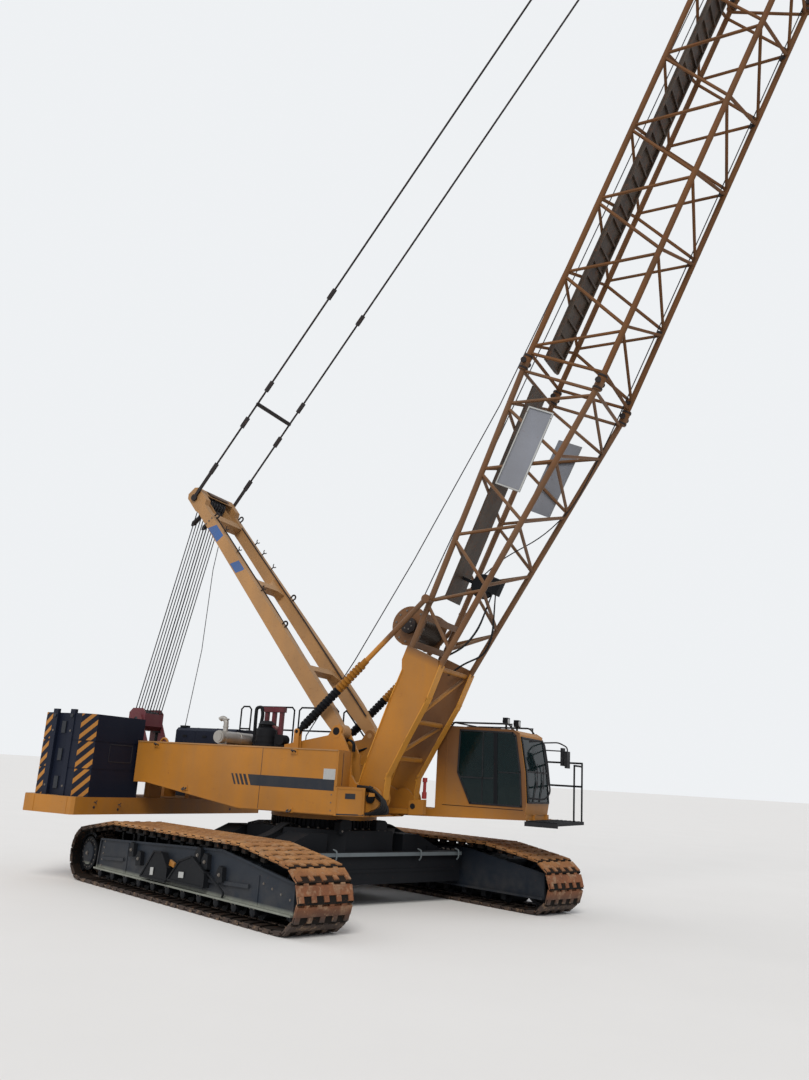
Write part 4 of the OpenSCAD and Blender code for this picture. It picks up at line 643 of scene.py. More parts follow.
for side in SIDES:
    out = TRACK_Y * side

    def face(x, z, lift=0.0):
        """A point on the outer plate of this side frame."""
        return on_track(x, side * (PLATE_Y + lift), z)

    def under_run(x, z):
        return on_track(x, side * GAUGE / 2, z)

    frame_trim.lip([face(x, z) for x, z in PLATE_EDGE], out, 0.035, 0.022)
    for x, z in ((2.50, 0.72), (-1.55, 0.80)):
        frame_trim.bar(face(x, LEDGE_Z), face(x, z), out, 0.022, 0.010)
    for x0, x1, z in ((1.02, 2.28, 0.52), (-2.45, -1.65, 0.50)):
        frame_trim.bar(face(x0, z - 0.03), face(x1, z + 0.02), out, 0.055, 0.030)
    # gussets in black, each with its ribs and a bare label
    for outline in GUSSETS:
        points = [face(x, z, GUSSET_OUT) for x, z in outline]
        frame_black.add(points, [tuple(range(len(points)))])
        for a, b in zip(points, points[1:] + points[:1]):
            frame_black.bar(a, b, out, 0.03, 0.012, 0.02)
            frame_black.add([a, b, b - out * GUSSET_DEPTH, a - out * GUSSET_DEPTH], [(0, 1, 2, 3)])
    for x, z, wide, high in ((-0.47, 0.40, 0.10, 0.13), (0.45, 0.46, 0.15, 0.10)):
        frame_labels.plate([(0, 0), (wide, 0.01), (wide, high), (0, high - 0.01)], face(x, z, 0.123),
                           TRACK_X, Z, 0.003)
    frame_yellow.plate([(0, 0), (0.16, -0.02), (0.18, 0.05), (0.03, 0.09)], face(0.0, 0.60, 0.03),
                       TRACK_X, Z, 0.03)
    # cast brackets and a pipe on the plate
    for x, z in ((-1.30, 0.72), (-1.02, 0.60), (0.88, 0.84), (1.10, 0.76), (1.55, 0.62)):
        frame_black.plate(BRACKET, face(x, z), TRACK_X * side, Z, 0.075 * side)
        frame_bolts.bolt(face(x, z, 0.076), out, 0.022, 0.02)
    frame_black.pipe([face(1.15, 0.60, 0.05), face(1.45, 0.50, 0.07), face(1.70, 0.38, 0.06),
                      face(1.62, 0.31, 0.03)], 0.10, 0.016, 8)
    frame_bolts.bolt_row(face(PLATE_REAR + 0.16, 0.34), face(PLATE_REAR + 0.21, 0.76), 5, out)
    frame_bolts.bolt_row(face(2.62, 0.62), face(3.28, 0.48), 4, out)
    # slide beam under the upper run, with its lugs
    frame_black.plate(SLIDE_BEAM, on_track(0, side * (GAUGE / 2) - 0.01, 0), TRACK_X, Z, 0.02)
    for x in (-2.15 + 0.42 * k for k in range(9)):
        frame_black.bar(under_run(x, 0.80), under_run(x, 0.99), out, 0.05, 0.20)
        frame_black.bar(under_run(x - 0.12, 0.975), under_run(x + 0.12, 0.975), out, 0.03, 0.30)
    # roller ends under the ledge
    for x in (-2.45 + 0.49 * i for i in range(11)):
        frame_black.tube([face(x, ROLLER_Z, lift) for lift in (-0.03, 0.035, 0.045)], [0.07, 0.07, 0.045])
        frame_bolts.bolt_row(face(x - 0.05, 0.262, 0.045), face(x + 0.05, 0.262, 0.045), 2, out, 0.011, 0.008)
    # travel drive: cover with a ring of bolts, and a guard round the sprocket
    hub = on_track(-END_X, side * (GAUGE / 2 + 0.33), END_R)
    frame_bolts.bolt_ring(hub, out, 0.25, 16, 0.010, 0.008)
    frame_trim.tube([hub + out * lift for lift in (-0.02, 0.022, 0.035)], [0.21, 0.20, 0.14], 32)
    frame_bolts.bolt(hub + out * 0.035, out, 0.03, 0.02)
    for across in (-0.30, 0.30):
        guard = arc(on_track(-END_X, side * GAUGE / 2 + across, END_R), TRACK_X, Z, 0.37, 60, 240, 15)
        frame_black.lip(guard, TRACK_Y, 0.055, 0.03 * side)
make_pieces()

# ---------------------------------------------------------------- carbody
BEAM_X, ARM_X, OCTAGON_Z = 1.559, 0.95, 1.2598
# each point of a travel hose: x, x from hose to hose, y, z
TRAVEL_HOSE = ((0.30, 0.07, 0.9, 1.25), (0.35, 0.07, 1.2, 1.34), (0.45, 0.07, 1.55, 1.16),
               (0.50, 0.06, 2.1, 1.0), (0.62, 0.05, 2.34, 0.86))
carbody_grey, carbody_trim, carbody_bolts, carbody_hoses = pieces(
    "undercarriage", beam_cylinder_rods="bar_grey", carbody_ribs="black_paint", carbody_bolts="bare_bolts",
    travel_hoses="hose_rubber")
for y in (-2.0, -1.0, 1.0, 2.0):
    carbody_grey.pipe([on_track(BEAM_X + 0.05, y, 0.78), on_track(BEAM_X + 0.095, y, 0.82),
                       on_track(BEAM_X + 0.095, y, 0.95), on_track(BEAM_X, y, 0.97)], 0.03, 0.014, 8)
for side in SIDES:
    for x in (-ARM_X, ARM_X):
        for dx in (-0.24, 0.24):
            carbody_bolts.bolt_row(on_track(x + dx, side * 2.05, 0.925), on_track(x + dx, side * 2.33, 0.905),
                                   3, Z, 0.028, 0.03)
        # ribs along the arms
        for y, top in ((1.55, 1.0), (1.95, 0.95)):
            for dx, normal in ((-0.32, -TRACK_X), (0.30, TRACK_X)):
                carbody_trim.bar(on_track(x + dx, side * y, 0.50), on_track(x + dx, side * y, top),
                                 normal, 0.03, 0.02)
    carbody_trim.bar(on_track(side * 1.50, -2.05, 0.60), on_track(side * 1.50, 2.05, 0.60),
                     TRACK_X * side, 0.05, 0.012)
for k in range(3):
    for side in SIDES:
        carbody_hoses.pipe([on_track(x + dx * k, side * y, z) for x, dx, y, z in TRAVEL_HOSE], 0.18, 0.024)
for x, y in ((1.15, -0.55), (1.15, 0.30), (-1.2, 0.2)):
    carbody_trim.plate([(-0.13, 0), (0.13, 0), (0.13, 0.20), (0.08, 0.24), (-0.08, 0.24), (-0.13, 0.20)],
                       on_track(x, y, 1.199), TRACK_Y, Z, 0.16)
    carbody_bolts.bolt_row(on_track(x + 0.165, y - 0.08, 1.25), on_track(x + 0.165, y + 0.08, 1.25), 2, TRACK_X)
carbody_bolts.bolt_ring((0, 0, OCTAGON_Z), Z, 1.10, 40, 0.020, 0.022)
carbody_grey.bar(on_track(BEAM_X, -2.18, 0.883), on_track(BEAM_X, 2.18, 0.883), TRACK_X, 0.062, 0.006)
make_pieces()

# ---------------------------------------------------------------- side bodies
# a dark band that breaks up into slanted dashes at its rear end: rear, front below, front above
BAND_LOW, BAND_HIGH, BAND_LEAN, DASH_PITCH = 1.925, 2.115, 0.0855, 0.095
BANDS = [(-0.70, 1.06, 1.06)]
for k in range(4):
    dash = -0.75 - DASH_PITCH * k
    BANDS.append((dash - (0.058 - 0.006 * k), dash, dash - BAND_LEAN))
DOOR_TOP = 2.46
body_trim, deck_edge, body_dark, body_bolts, body_labels = pieces(
    "upper_works", side_body_flanges="yellow_paint", deck_edge_flange="mast_paint",
    side_body_bands="stripe_dark", side_body_bolts="bare_bolts", bare_side_labels="label_white")
for side in SIDES:
    out = Y * side

    def wall(x, z, lift=0.0):
        """A point on the outer wall of this side body."""
        return Vector((x, side * (SIDE_Y + lift), z))

    for rear, front_low, front_high in BANDS:
        corners = ((rear, BAND_LOW), (front_low, BAND_LOW), (front_high, BAND_HIGH), (rear - BAND_LEAN, BAND_HIGH))
        body_dark.plate([(-side * x, z) for x, z in corners], wall(0, 0), X * -side, Z, 0.002)
    body_labels.plate(rect(0.12, 0.09), wall(0.95, 2.20), X * -side, Z, 0.003)
    # flange along the deck edge, lower flange, door seam and eyes
    deck_edge.lip([wall(-3.49, DECK_Z - 0.012), wall(1.09, DECK_Z - 0.012)], out, 0.022, 0.012)
    body_trim.lip([wall(-3.48, 1.85), wall(-3.15, 1.85), wall(-0.94, 1.525), wall(1.08, 1.54)],
                  out, 0.016, 0.010)
    body_dark.bar(wall(-0.50, 1.535), wall(-0.50, DECK_Z - 0.03), out, 0.010, 0.0015)
    for x, z in ((0.19, DECK_Z - 0.07), (0.19, 1.56), (-2.20, 1.80), (-3.0, DECK_Z - 0.07)):
        body_trim.plate([(-0.07, -0.05), (0.07, -0.05), (0.05, 0.05), (-0.05, 0.05)], wall(x, z),
                        X * -side, Z, 0.012)
        body_dark.eye(wall(x, z, 0.010), X, out + Z * (-0.6 if z < 2 else 0.3), 0.055, 0.012)
    body_bolts.bolt_row(wall(1.02, 1.60), wall(1.02, 1.86), 3, out, 0.010, 0.007)
    if side > 0:
        # service doors of the left body, with louvres, latches and hinges
        for x0, x1, z0 in ((-3.35, -2.35, 1.95), (-2.15, -1.15, 1.90), (-0.35, 0.60, 1.90)):
            body_trim.rim([wall(x0, z0), wall(x1, z0), wall(x1, DOOR_TOP), wall(x0, DOOR_TOP)],
                          out, 0.018, 0.010)
            body_dark.bars(9, wall(x0 + 0.12, 2.10), wall(x1 - 0.30, 2.10), Z * 0.035, out + Z * -0.6,
                           0.026, 0.008)
            body_dark.stub(wall(x1 - 0.10, 2.20), out, -0.002, 0.022, 0.035)
            for z in (z0 + 0.08, 2.38):
                body_dark.stub(wall(x0 + 0.012, z, 0.012), Z, -0.05, 0.05, 0.014, 10)
# front of the right body: corner seam, dark bar on the slanted face, and the nose under it
body_trim.bar((1.10, -SIDE_Y, 2.01), (1.10, -SIDE_Y, 2.60), X - Y, 0.02, 0.006)
body_dark.bar((1.045, -1.20, 2.02), (1.045, -1.20, 2.58), (1.0, -0.197, 0), 0.02, 0.004)
NOSE_OUT, NOSE_U = Vector((0.857, -0.514, 0)).normalized(), Vector((0.514, 0.857, 0)).normalized()
nose_mid = Vector((1.25, -1.22, 1.72))
nose_edge = ((-0.25, -0.17), (-0.25, 0.25), (0.25, 0.25), (0.25, -0.17))
body_trim.rim([nose_mid + NOSE_U * u + Z * z for u, z in nose_edge], NOSE_OUT, 0.014, 0.007)
body_dark.plate(rect(0.10, 0.045), nose_mid + Z * 0.13 + NOSE_OUT * 0.002, NOSE_U, Z, 0.004)
body_dark.bar((1.12, -1.44, 1.545), (1.395, -0.975, 1.545), NOSE_OUT, 0.02, 0.008)
make_pieces()

# ---------------------------------------------------------------- counterweight
CW_FRONT, CW_REAR, CW_OUT, CW_Z, SLAB, CHAMFER = -3.56, -4.90, 2.75, 1.53, 0.505, 0.21
CW_MID = (CW_FRONT + CW_REAR) / 2
STRIPE_PITCH, STRIPE, STRIPE_LIFT, SIDE_STRIPES = 0.215, 0.095, 0.0005, 0.18
TRAY_REAR, TRAY_Z0, TRAY_Z1 = -4.96, 1.25, 1.50
cw_stripes, cw_dark, cw_steel, tray_trim = pieces(
    "upper_works", counterweight_stripes="stripe_yellow", counterweight_pockets="stripe_dark",
    counterweight_eyes="bare_bolts", tray_ribs="yellow_paint")


def slanted_bands(origin, u, width):
    """Warning stripes: bands at 45 degrees, clipped to a slab's height, from a lower corner along u."""
    height = SLAB - 0.020
    for k in range(-2, 3):
        v0 = k * STRIPE_PITCH
        corners = [(0, v0), (width, v0 + width), (width, v0 + width + STRIPE), (0, v0 + STRIPE)]
        for edge, inward in ((0.0, 1), (height, -1)):
            clipped = []
            for (a, b), (c, d) in zip(corners, corners[1:] + corners[:1]):
                keep_a, keep_c = (b - edge) * inward >= 0, (d - edge) * inward >= 0
                if keep_a:
                    clipped.append((a, b))
                if keep_a != keep_c:
                    clipped.append((a + (c - a) * (edge - b) / (d - b), edge))
            corners = clipped
        if len(corners) > 2:
            cw_stripes.plate(corners, origin, u, Z, 0.002)


for side in SIDES:
    for z in (CW_Z + slab * SLAB + 0.004 for slab in range(3)):
        for front, x in ((1, CW_FRONT), (-1, CW_REAR)):
            inner = Vector((x, side * (CW_OUT - CHAMFER), z))
            outer = Vector((x - front * CHAMFER, side * CW_OUT, z))
            a, b = (inner, outer) if side == front else (outer, inner)
            slanted_bands(a + Vector((front, side, 0)).normalized() * STRIPE_LIFT, b - a, CHAMFER * math.sqrt(2))
        rear = CW_REAR + CHAMFER + (SIDE_STRIPES if side > 0 else 0.0)
        slanted_bands(Vector((rear, side * (CW_OUT + STRIPE_LIFT), z)), X * -side, SIDE_STRIPES)
    # shallow recess on the front face, posts with their bolts, dark slots in the slabs
    cw_dark.rim([(CW_FRONT, side * y, z) for y, z in ((1.55, 2.18), (2.15, 2.18), (2.15, 2.50), (1.55, 2.50))],
                X, 0.014, 0.006)
    for x in (CW_MID - 0.225, CW_MID + 0.225):
        post = Vector((x, side * (CW_OUT + 0.015), 0))
        for z in (1.70, 2.70):
            cw_steel.bolt(post + Z * z, Y * side, 0.016, 0.012)
        cw_dark.stub(post + Z * 2.98, Y * side, -0.05, 0.02, 0.035)
    for slab in range(3):
        low = Vector((CW_MID - 0.02, side * (CW_OUT - 0.058), CW_Z + slab * SLAB + 0.12))
        cw_dark.bar(low, low + Z * 0.22, Y * side, 0.10, 0.02)
    # tray: end seams, drain holes and hooks
    for x in (-4.56, -3.72):
        tray_trim.bar((x, side * 2.87, 1.235), (x, side * 2.87, 1.515), Y * side, 0.012, 0.006)
    for y, z in ((2.35, 1.44), (1.73, 1.40)):
        at = Vector((CW_FRONT - 0.002, side * y, z))
        cw_dark.hook(at, Z, X, 0.07)
        cw_dark.stub(at - Z * 0.09, X, 0.0, 0.008, 0.025)
for z in (TRAY_Z1, TRAY_Z0):
    tray_trim.bar((TRAY_REAR, -2.70, z), (TRAY_REAR, 2.70, z), -X, 0.03, 0.01)
tray_trim.bars(5, (TRAY_REAR, -2.0, TRAY_Z0), (TRAY_REAR, -2.0, TRAY_Z1), Y, -X, 0.02, 0.008)
make_pieces()

# ---------------------------------------------------------------- deck: hood, pipes, clamps
HOOD_REAR, HOOD_Y0, HOOD_Y1, HOOD_TOP = -3.34, -0.60, 0.81, DECK_Z + 0.33
hood_trim, deck_black, deck_silver, deck_yellow = pieces(
    "upper_works", hood_seams="navy_paint", deck_hoses_and_clamps="black_paint",
    muffler_straps="silver_sheet", mast_foot_clamps="yellow_paint")
for x in (-2.84, -2.34):
    hood_trim.bar((x, HOOD_Y0, DECK_Z + 0.02), (x, HOOD_Y0, HOOD_TOP - 0.07), -Y, 0.012, 0.004)
    hood_trim.bar((x, HOOD_Y0 + 0.06, HOOD_TOP), (x, HOOD_Y1 - 0.06, HOOD_TOP), Z, 0.012, 0.004)
    hood_trim.bar((x, HOOD_Y1, DECK_Z + 0.02), (x, HOOD_Y1, HOOD_TOP - 0.07), Y, 0.012, 0.004)
for x in (-3.10, -2.59, -2.08):
    deck_black.plate(rect(0.05, 0.02), (x, HOOD_Y0, DECK_Z + 0.16), X, Z, 0.012)
    deck_black.bars(7, (x - 0.17, 0.0, HOOD_TOP), (x + 0.17, 0.0, HOOD_TOP), Y * 0.06, Z + Y * 0.5, 0.03, 0.008)
deck_black.bars(9, (HOOD_REAR, HOOD_Y0 + 0.25, DECK_Z + 0.04), (HOOD_REAR, HOOD_Y1 - 0.25, DECK_Z + 0.04),
                Z * 0.025, -X + Z * -0.4, 0.018, 0.006)
deck_black.box((-3.20, -0.50, HOOD_TOP + 0.02), (0.16, 0.12, 0.04))
# muffler straps, end cap rim and rims of its pipe
MUFFLER = Vector((-1.69, 0, DECK_Z + 0.145))
for y in (-1.27, -1.16, -0.70, -0.15, -0.03):
    deck_silver.stub(MUFFLER, Y, y - 0.012, y + 0.012, 0.121, 40)
deck_silver.stub(MUFFLER, Y, -1.312, -1.302, 0.085, 32)
for rise in (0.20, 0.34):
    deck_silver.stub(MUFFLER + Vector((0, -1.10, rise)), Z, -0.012, 0.012, 0.056, 24)
# looped breather pipe beside the rope guide frame
deck_black.pipe([(-1.54, -0.35, DECK_Z), (-1.56, -0.35, 3.20), (-1.58, -0.32, 3.40), (-1.48, -0.28, 3.42),
                 (-1.44, -0.28, 3.25), (-1.46, -0.30, 3.05), (-1.50, -0.33, 2.90)], 0.08, 0.035, 14)
# air cleaner clamps and its outlet hose
for rise in (0.11, 0.21):
    deck_black.stub((-1.01, -0.70, DECK_Z + rise), Z, -0.012, 0.012, 0.207, 40)
deck_black.pipe([(-0.86, -0.62, DECK_Z + 0.16), (-0.78, -0.50, DECK_Z + 0.18), (-0.80, -0.30, DECK_Z + 0.12),
                 (-0.95, -0.20, DECK_Z + 0.02)], 0.12, 0.045, 14)
for i in range(6):
    deck_black.stub((-0.63, -0.79 + 0.035 * i, DECK_Z + 0.15), Y, 0.0, 0.015, 0.098, 32)
for side in SIDES:
    # clamp and pin end at the mast foot
    foot = (MAST_FOOT.x, side * 0.81, MAST_FOOT.z)
    deck_yellow.plate([(-0.12, -0.03), (0.05, 0.14), (0.13, 0.05), (0.06, -0.11), (-0.04, -0.13)],
                      foot, X, Z, -0.005 * side)
    deck_black.stub(foot, Y * side, -0.01, 0.008, 0.07, 20)
    # hydraulic lines on the deck, and the pin end at the boom foot
    for k in range(2):
        y0, y1 = side * (0.62 + 0.05 * k), -0.03 * k
        deck_black.pipe([(0.92, y0, DECK_Z), (0.92, y0, 2.78), (0.78, side * (0.60 + 0.05 * k), 2.84),
                         (0.60, side * (0.48 + y1), 2.74), (0.30, side * (0.42 + y1), DECK_Z + 0.01)], 0.10, 0.018)
    deck_black.stub((BOOM_FOOT.x, side * 0.81, BOOM_FOOT.z), Y * side, 0.0, 0.025, 0.085, 24)
for x in (-1.15, -0.33):
    deck_silver.tube(coil(lambda *point: Vector(point), x, 2.24, 0.262, 0.36, 22, 16), 0.016, 6)
# small post with a flat cap, and the eye behind the rope block
deck_black.stub((-3.90, -0.55, DECK_Z), Z, 0.02, 0.20, 0.03, 12)
deck_black.stub((-3.90, -0.55, DECK_Z), Z, 0.20, 0.23, 0.08, 20)
deck_yellow.tube(arc((-3.62, -0.60, DECK_Z), X, Z, 0.09, 0, 180, 14), 0.025, 10)
make_pieces()

# ---------------------------------------------------------------- frame nose beside the boom foot
nose_hoses, nose_red, nose_yellow = pieces(
    "upper_works", foot_hoses="hose_rubber", red_swivel_valve="red_valve", front_step_box="yellow_paint")
for k in range(6):
    y, drop = -0.905 + 0.022 * k, 0.02 * k
    bulge = 1.70 + 0.03 * (k % 3)
    nose_hoses.pipe([(1.20, y, 2.02), (1.46, y, 2.02 - drop), (bulge, y, 1.86 - 0.03 * k),
                     (bulge + 0.02, y, 1.70 - drop), (1.50, y + 0.02, 1.57), (1.20, y + 0.04, 1.55)],
                    0.13, 0.024 + 0.005 * (k % 2))
    nose_hoses.tube([(1.44, y, 2.02 - drop), (1.50, y, 2.00 - 0.025 * k)], 0.034, 6)
nose_yellow.plate([(0, 0), (0.11, 0.01), (0.10, 0.06), (0.01, 0.07)], (1.50, -0.98, 1.86), X, Z, 0.04)
for z0, z1, r in ((1.86, 1.98, 0.045), (1.98, 2.16, 0.030), (2.16, 2.24, 0.045)):
    nose_red.tube([(1.88, 0.42, z0), (1.88, 0.42, z1)], r)
nose_yellow.plate([(0, 0), (0.30, 0.03), (0.30, 0.29), (0, 0.26)], (1.66, 0.36, 1.56), X, Z, 0.12)
nose_hoses.tube([(1.74, 0.238, 1.72), (1.74, 0.23, 1.72)], 0.05)
nose_yellow.plate([(1.20, 0), (1.68, 0.02), (1.68, 0.10), (1.20, 0.10)], (0, 0.42, 1.56), X, Z, 0.10)
make_pieces()

# ---------------------------------------------------------------- cab
CAB_REAR, CAB_FRONT, CAB_Y0, CAB_Y1, TREAD_Z = 1.90, 3.72, 0.86, 2.15, 1.60
CAB_MID, DOOR_Y, LAMP_Z = (CAB_Y0 + CAB_Y1) / 2, 2.199, 3.365
WINDOW = ((2.37, 3.165), (2.35, 2.38), (2.62, 1.835), (3.63, 1.835), (3.592, 2.44), (3.49, 3.085), (3.43, 3.14))
cab_black, cab_steel, cab_yellow, cab_lamps, cab_inner = pieces(
    "upper_works", cab_gaskets_and_rails="cab_plastic", cab_side_pillar="black_paint",
    cab_gutters="yellow_paint", lamp_lenses="lamp_glass", cab_controls="cab_plastic")


def cab_wall(x, z):
    """A point on the cab's outer side pane."""
    return Vector((x, CAB_Y0 - 0.009, z))


cab_black.rim([cab_wall(x, z) for x, z in WINDOW], -Y, 0.030, 0.008)
# pillar between the side panes, and the sliding pane's frame
cab_steel.bar(cab_wall(3.13, 1.85), cab_wall(3.09, 3.13), -Y, 0.075, 0.006)
cab_black.bar(cab_wall(2.86, 1.86), cab_wall(2.84, 3.14), -Y, 0.018, 0.007)
cab_black.bar(cab_wall(2.40, 2.30), cab_wall(3.07, 2.30), -Y, 0.020, 0.007)
cab_black.bar(cab_wall(3.17, 2.42), cab_wall(3.58, 2.42), -Y, 0.014, 0.006)
# ribs and groove pressed into the wall beside the window
cab_yellow.bar((2.05, CAB_Y0, 1.795), (3.66, CAB_Y0, 1.795), -Y, 0.030, 0.010)
cab_black.bar((2.05, CAB_Y0, 1.772), (3.66, CAB_Y0, 1.772), -Y, 0.010, 0.003)
cab_yellow.bar((2.10, CAB_Y0, 1.86), (2.10, CAB_Y0, 3.10), -Y, 0.020, 0.005)
# gutter round the roof
for y in (CAB_Y0 + 0.01, CAB_Y1 - 0.01):
    cab_yellow.lip([(1.97, y, 3.225), (3.44, y, 3.187), (3.55, y, 3.125)], Z, 0.03, 0.014)
cab_yellow.bar((1.965, CAB_Y0 + 0.01, 3.225), (1.965, CAB_Y1 - 0.01, 3.225), Z, 0.03, 0.014)
# windscreen: gasket, middle bar and two wipers
for y in (CAB_Y0 + 0.06, CAB_Y1 - 0.06):
    cab_black.lip([(3.732, y, 1.91), (3.692, y, 2.45), (3.585, y, 3.07)], X, 0.035, 0.010)
for x, z in ((3.732, 1.91), (3.690, 2.46), (3.585, 3.06)):
    cab_black.bar((x, CAB_Y0 + 0.05, z), (x, CAB_Y1 - 0.05, z), X, 0.030, 0.010)
for y0, y1 in ((1.20, 1.45), (1.55, 1.80)):
    cab_black.tube([(3.735, y0, 1.93), (3.715, y1, 2.33)], 0.009, 8)
    cab_black.bar((3.722, y1 - 0.02, 2.16), (3.693, y1 + 0.03, 2.62), X, 0.018, 0.012)
# guard rails over the roof and lamps' lenses
for y in (CAB_Y0 + 0.06, CAB_Y1 - 0.06):
    cab_black.pipe([(2.15, y, 3.22), (2.20, y, 3.305), (3.32, y, 3.305), (3.41, y, 3.20)], 0.06, 0.017)
cab_black.tube([(2.20, CAB_Y0 + 0.06, 3.305), (2.20, CAB_Y1 - 0.06, 3.305)], 0.014, 10)
cab_black.box((2.62, CAB_Y0 + 0.55, 3.235), (0.55, 0.40, 0.05))
for y in (CAB_Y0 + 0.25, CAB_Y1 - 0.45):
    cab_lamps.tube([(3.235, y, LAMP_Z), (3.246, y, LAMP_Z)], 0.052, 24)
    cab_black.tube([(3.13, y, LAMP_Z), (3.155, y, LAMP_Z)], [0.035, 0.055])
# loop handrail on the front corner, and the far mirror with its bracket
cab_black.pipe([(3.70, 1.0, 3.00), (3.98, 1.0, 3.02), (4.06, 1.0, 2.60), (4.12, 1.0, 2.10), (4.02, 1.0, 1.98),
                (3.735, 1.0, 1.99)], 0.10, 0.016)
cab_black.pipe([(3.60, 2.14, 3.04), (3.86, 2.24, 3.06), (4.02, 2.32, 2.98), (4.02, 2.32, 2.62)], 0.06, 0.014)
cab_black.box((4.02, 2.33, 2.74), (0.05, 0.19, 0.32))
cab_lamps.box((3.992, 2.33, 2.74), (0.006, 0.16, 0.28))
# seam of the door; rear wall with its vent and hose bulkhead
cab_black.rim([(x, DOOR_Y, z) for x, z in ((2.54, 2.0), (3.14, 2.0), (3.14, 3.05), (2.54, 3.05))], Y, 0.022, 0.006)
cab_black.bars(6, (CAB_REAR, 1.25, 1.88), (CAB_REAR, 1.85, 1.88), Z * 0.05, -X + Z * -0.5, 0.035, 0.010)
cab_black.rim([(CAB_REAR - 0.008, y, z) for y, z in ((1.02, 2.31), (1.99, 2.31), (1.99, 3.04), (1.02, 3.04))],
              -X, 0.03, 0.008)
# treads of the walkway and the step
cab_black.bars(22, (CAB_REAR + 0.06, 2.18, TREAD_Z), (CAB_REAR + 0.06, 2.52, TREAD_Z), X * 0.08, Z, 0.018, 0.006)
cab_black.bars(6, (CAB_FRONT + 0.08, 0.90, TREAD_Z), (CAB_FRONT + 0.08, 2.48, TREAD_Z), X * 0.085, Z, 0.018, 0.008)
cab_black.lip([(3.72, 0.862, 1.545), (4.295, 0.862, 1.545)], -Y, 0.08, 0.012)
# inside: levers, armrests, pedals, screen
for side in SIDES:
    y = CAB_MID + side * 0.36
    cab_inner.tube([(2.86, y, 2.27), (2.90, y, 2.46)], 0.014, 8)
    cab_inner.tube([(2.895, y, 2.44), (2.905, y, 2.52)], [0.028, 0.022], 10)
    cab_inner.box((2.62, CAB_MID + side * 0.30, 2.42), (0.36, 0.07, 0.05))
    y = CAB_MID + side * 0.14
    cab_inner.tube([(3.30, y, 1.95), (3.24, y, 2.30)], 0.012, 8)
cab_inner.box((3.34, 1.75, 2.45), (0.05, 0.26, 0.20))
cab_inner.tube([(3.40, 1.75, 2.15), (3.36, 1.75, 2.36)], 0.015, 8)
make_pieces()

# ---------------------------------------------------------------- boom
LEG_BACK = ((-0.06, 0.215), (0.06, 0.385), (0.52, 0.437), (1.67, 0.497), (2.20, 0.505))
LEG_FRONT = ((0.12, -0.15), (0.45, -0.04), (1.17, -0.09), (1.98, -0.16), (2.58, -0.14))
SIGN = ((6.03, -0.19), (7.54, -0.19), (7.54, 0.30), (6.03, 0.30))
WINCH_L, WINCH_N, BOARD_N, BOARD_END = 3.02, 0.90, 0.688, 29.19
winch_rope, boom_flange, boom_bolts, boom_pins, boom_hoses, boom_boards, boom_frames, rope_up = pieces(
    "boom", hoist_rope_on_drum="wound_rope", boom_leg_flanges="flange_paint", boom_bolts="bare_bolts",
    boom_section_pins="pendant_steel", boom_hoses="hose_rubber", walkway_cleats="walkway_boards",
    sign_frames="label_white", hoist_rope="rope_steel")


def leg_y(l):
    return FOOT_Y + (CHORD_Y - FOOT_Y) / BASE_L * l


for side in SIDES:
    for edge, out in ((LEG_BACK, BOOM_Z), (LEG_FRONT, -BOOM_Z)):
        boom_flange.lip([on_boom(l, side * leg_y(l), n) for l, n in edge], out, 0.20, 0.016)
    # bolts round the foot pin, and the pins of the sections
    boom_bolts.bolt_ring(on_boom(0, side * 0.69, 0), Y * side, 0.14, 8, 0.018)
    for l in JOINTS:
        for n in (-CHORD_N, CHORD_N):
            c = on_boom(l, side * CHORD_Y, n)
            for start, end, radius in ((-0.13, 0.13, 0.038), (-0.140, -0.118, 0.055), (0.118, 0.140, 0.055)):
                boom_pins.stub(c, Y, start, end, radius)
            for way in (1, -1):
                boom_pins.stub(c, BOOM_X * way, 0.10, 0.135, 0.092, 20)
    # hoses up the inside of a leg
    for y in (side * 0.46, side * 0.42):
        boom_hoses.pipe([on_boom(2.45, y, 0.20), on_boom(2.75, y, 0.02), on_boom(3.1, y + side * 0.05, -0.30),
                         on_boom(3.5, y - side * 0.10, -0.34), on_boom(4.19, side * 0.08, -0.18)], 0.25, 0.012, 8)
# cable from the reel up the boom, tied to a chord
CABLE = ((4.25, 0.06, 0.30), (4.9, 0.30, 0.10), (5.6, 0.60, -0.35), (6.4, 0.74, -0.62), (8.0, 0.80, -0.67),
         (20.0, 0.80, -0.69), (29.0, 0.80, -0.69), (32.4, 0.47, -0.20))
boom_hoses.pipe([on_boom(*point) for point in CABLE], 0.4, 0.011, 8)
for l in (8.6 + k * 1.5 for k in range(14)):
    boom_pins.tube([on_boom(l, 0.835, -0.72), on_boom(l + 0.05, 0.835, -0.72)], 0.062)
# rails and cleats of the walkway
for l0, l1 in ((JOINTS[0] + 0.32, JOINTS[1] - 0.05), (JOINTS[1] + 0.05, JOINTS[2] - 0.05),
               (JOINTS[2] + 0.05, BOARD_END)):
    for y in (-0.315, 0.315):
        boom_boards.bar(on_boom(l0, y, BOARD_N - 0.005), on_boom(l1, y, BOARD_N - 0.005), -BOOM_Z, 0.03, 0.05)
    count = int((l1 - l0) / 0.30)
    for l in (l0 + (l1 - l0) * k / count for k in range(count + 1)):
        boom_boards.bar(on_boom(l, -0.32, BOARD_N - 0.008), on_boom(l, 0.32, BOARD_N - 0.008),
                        -BOOM_Z, 0.035, 0.035)
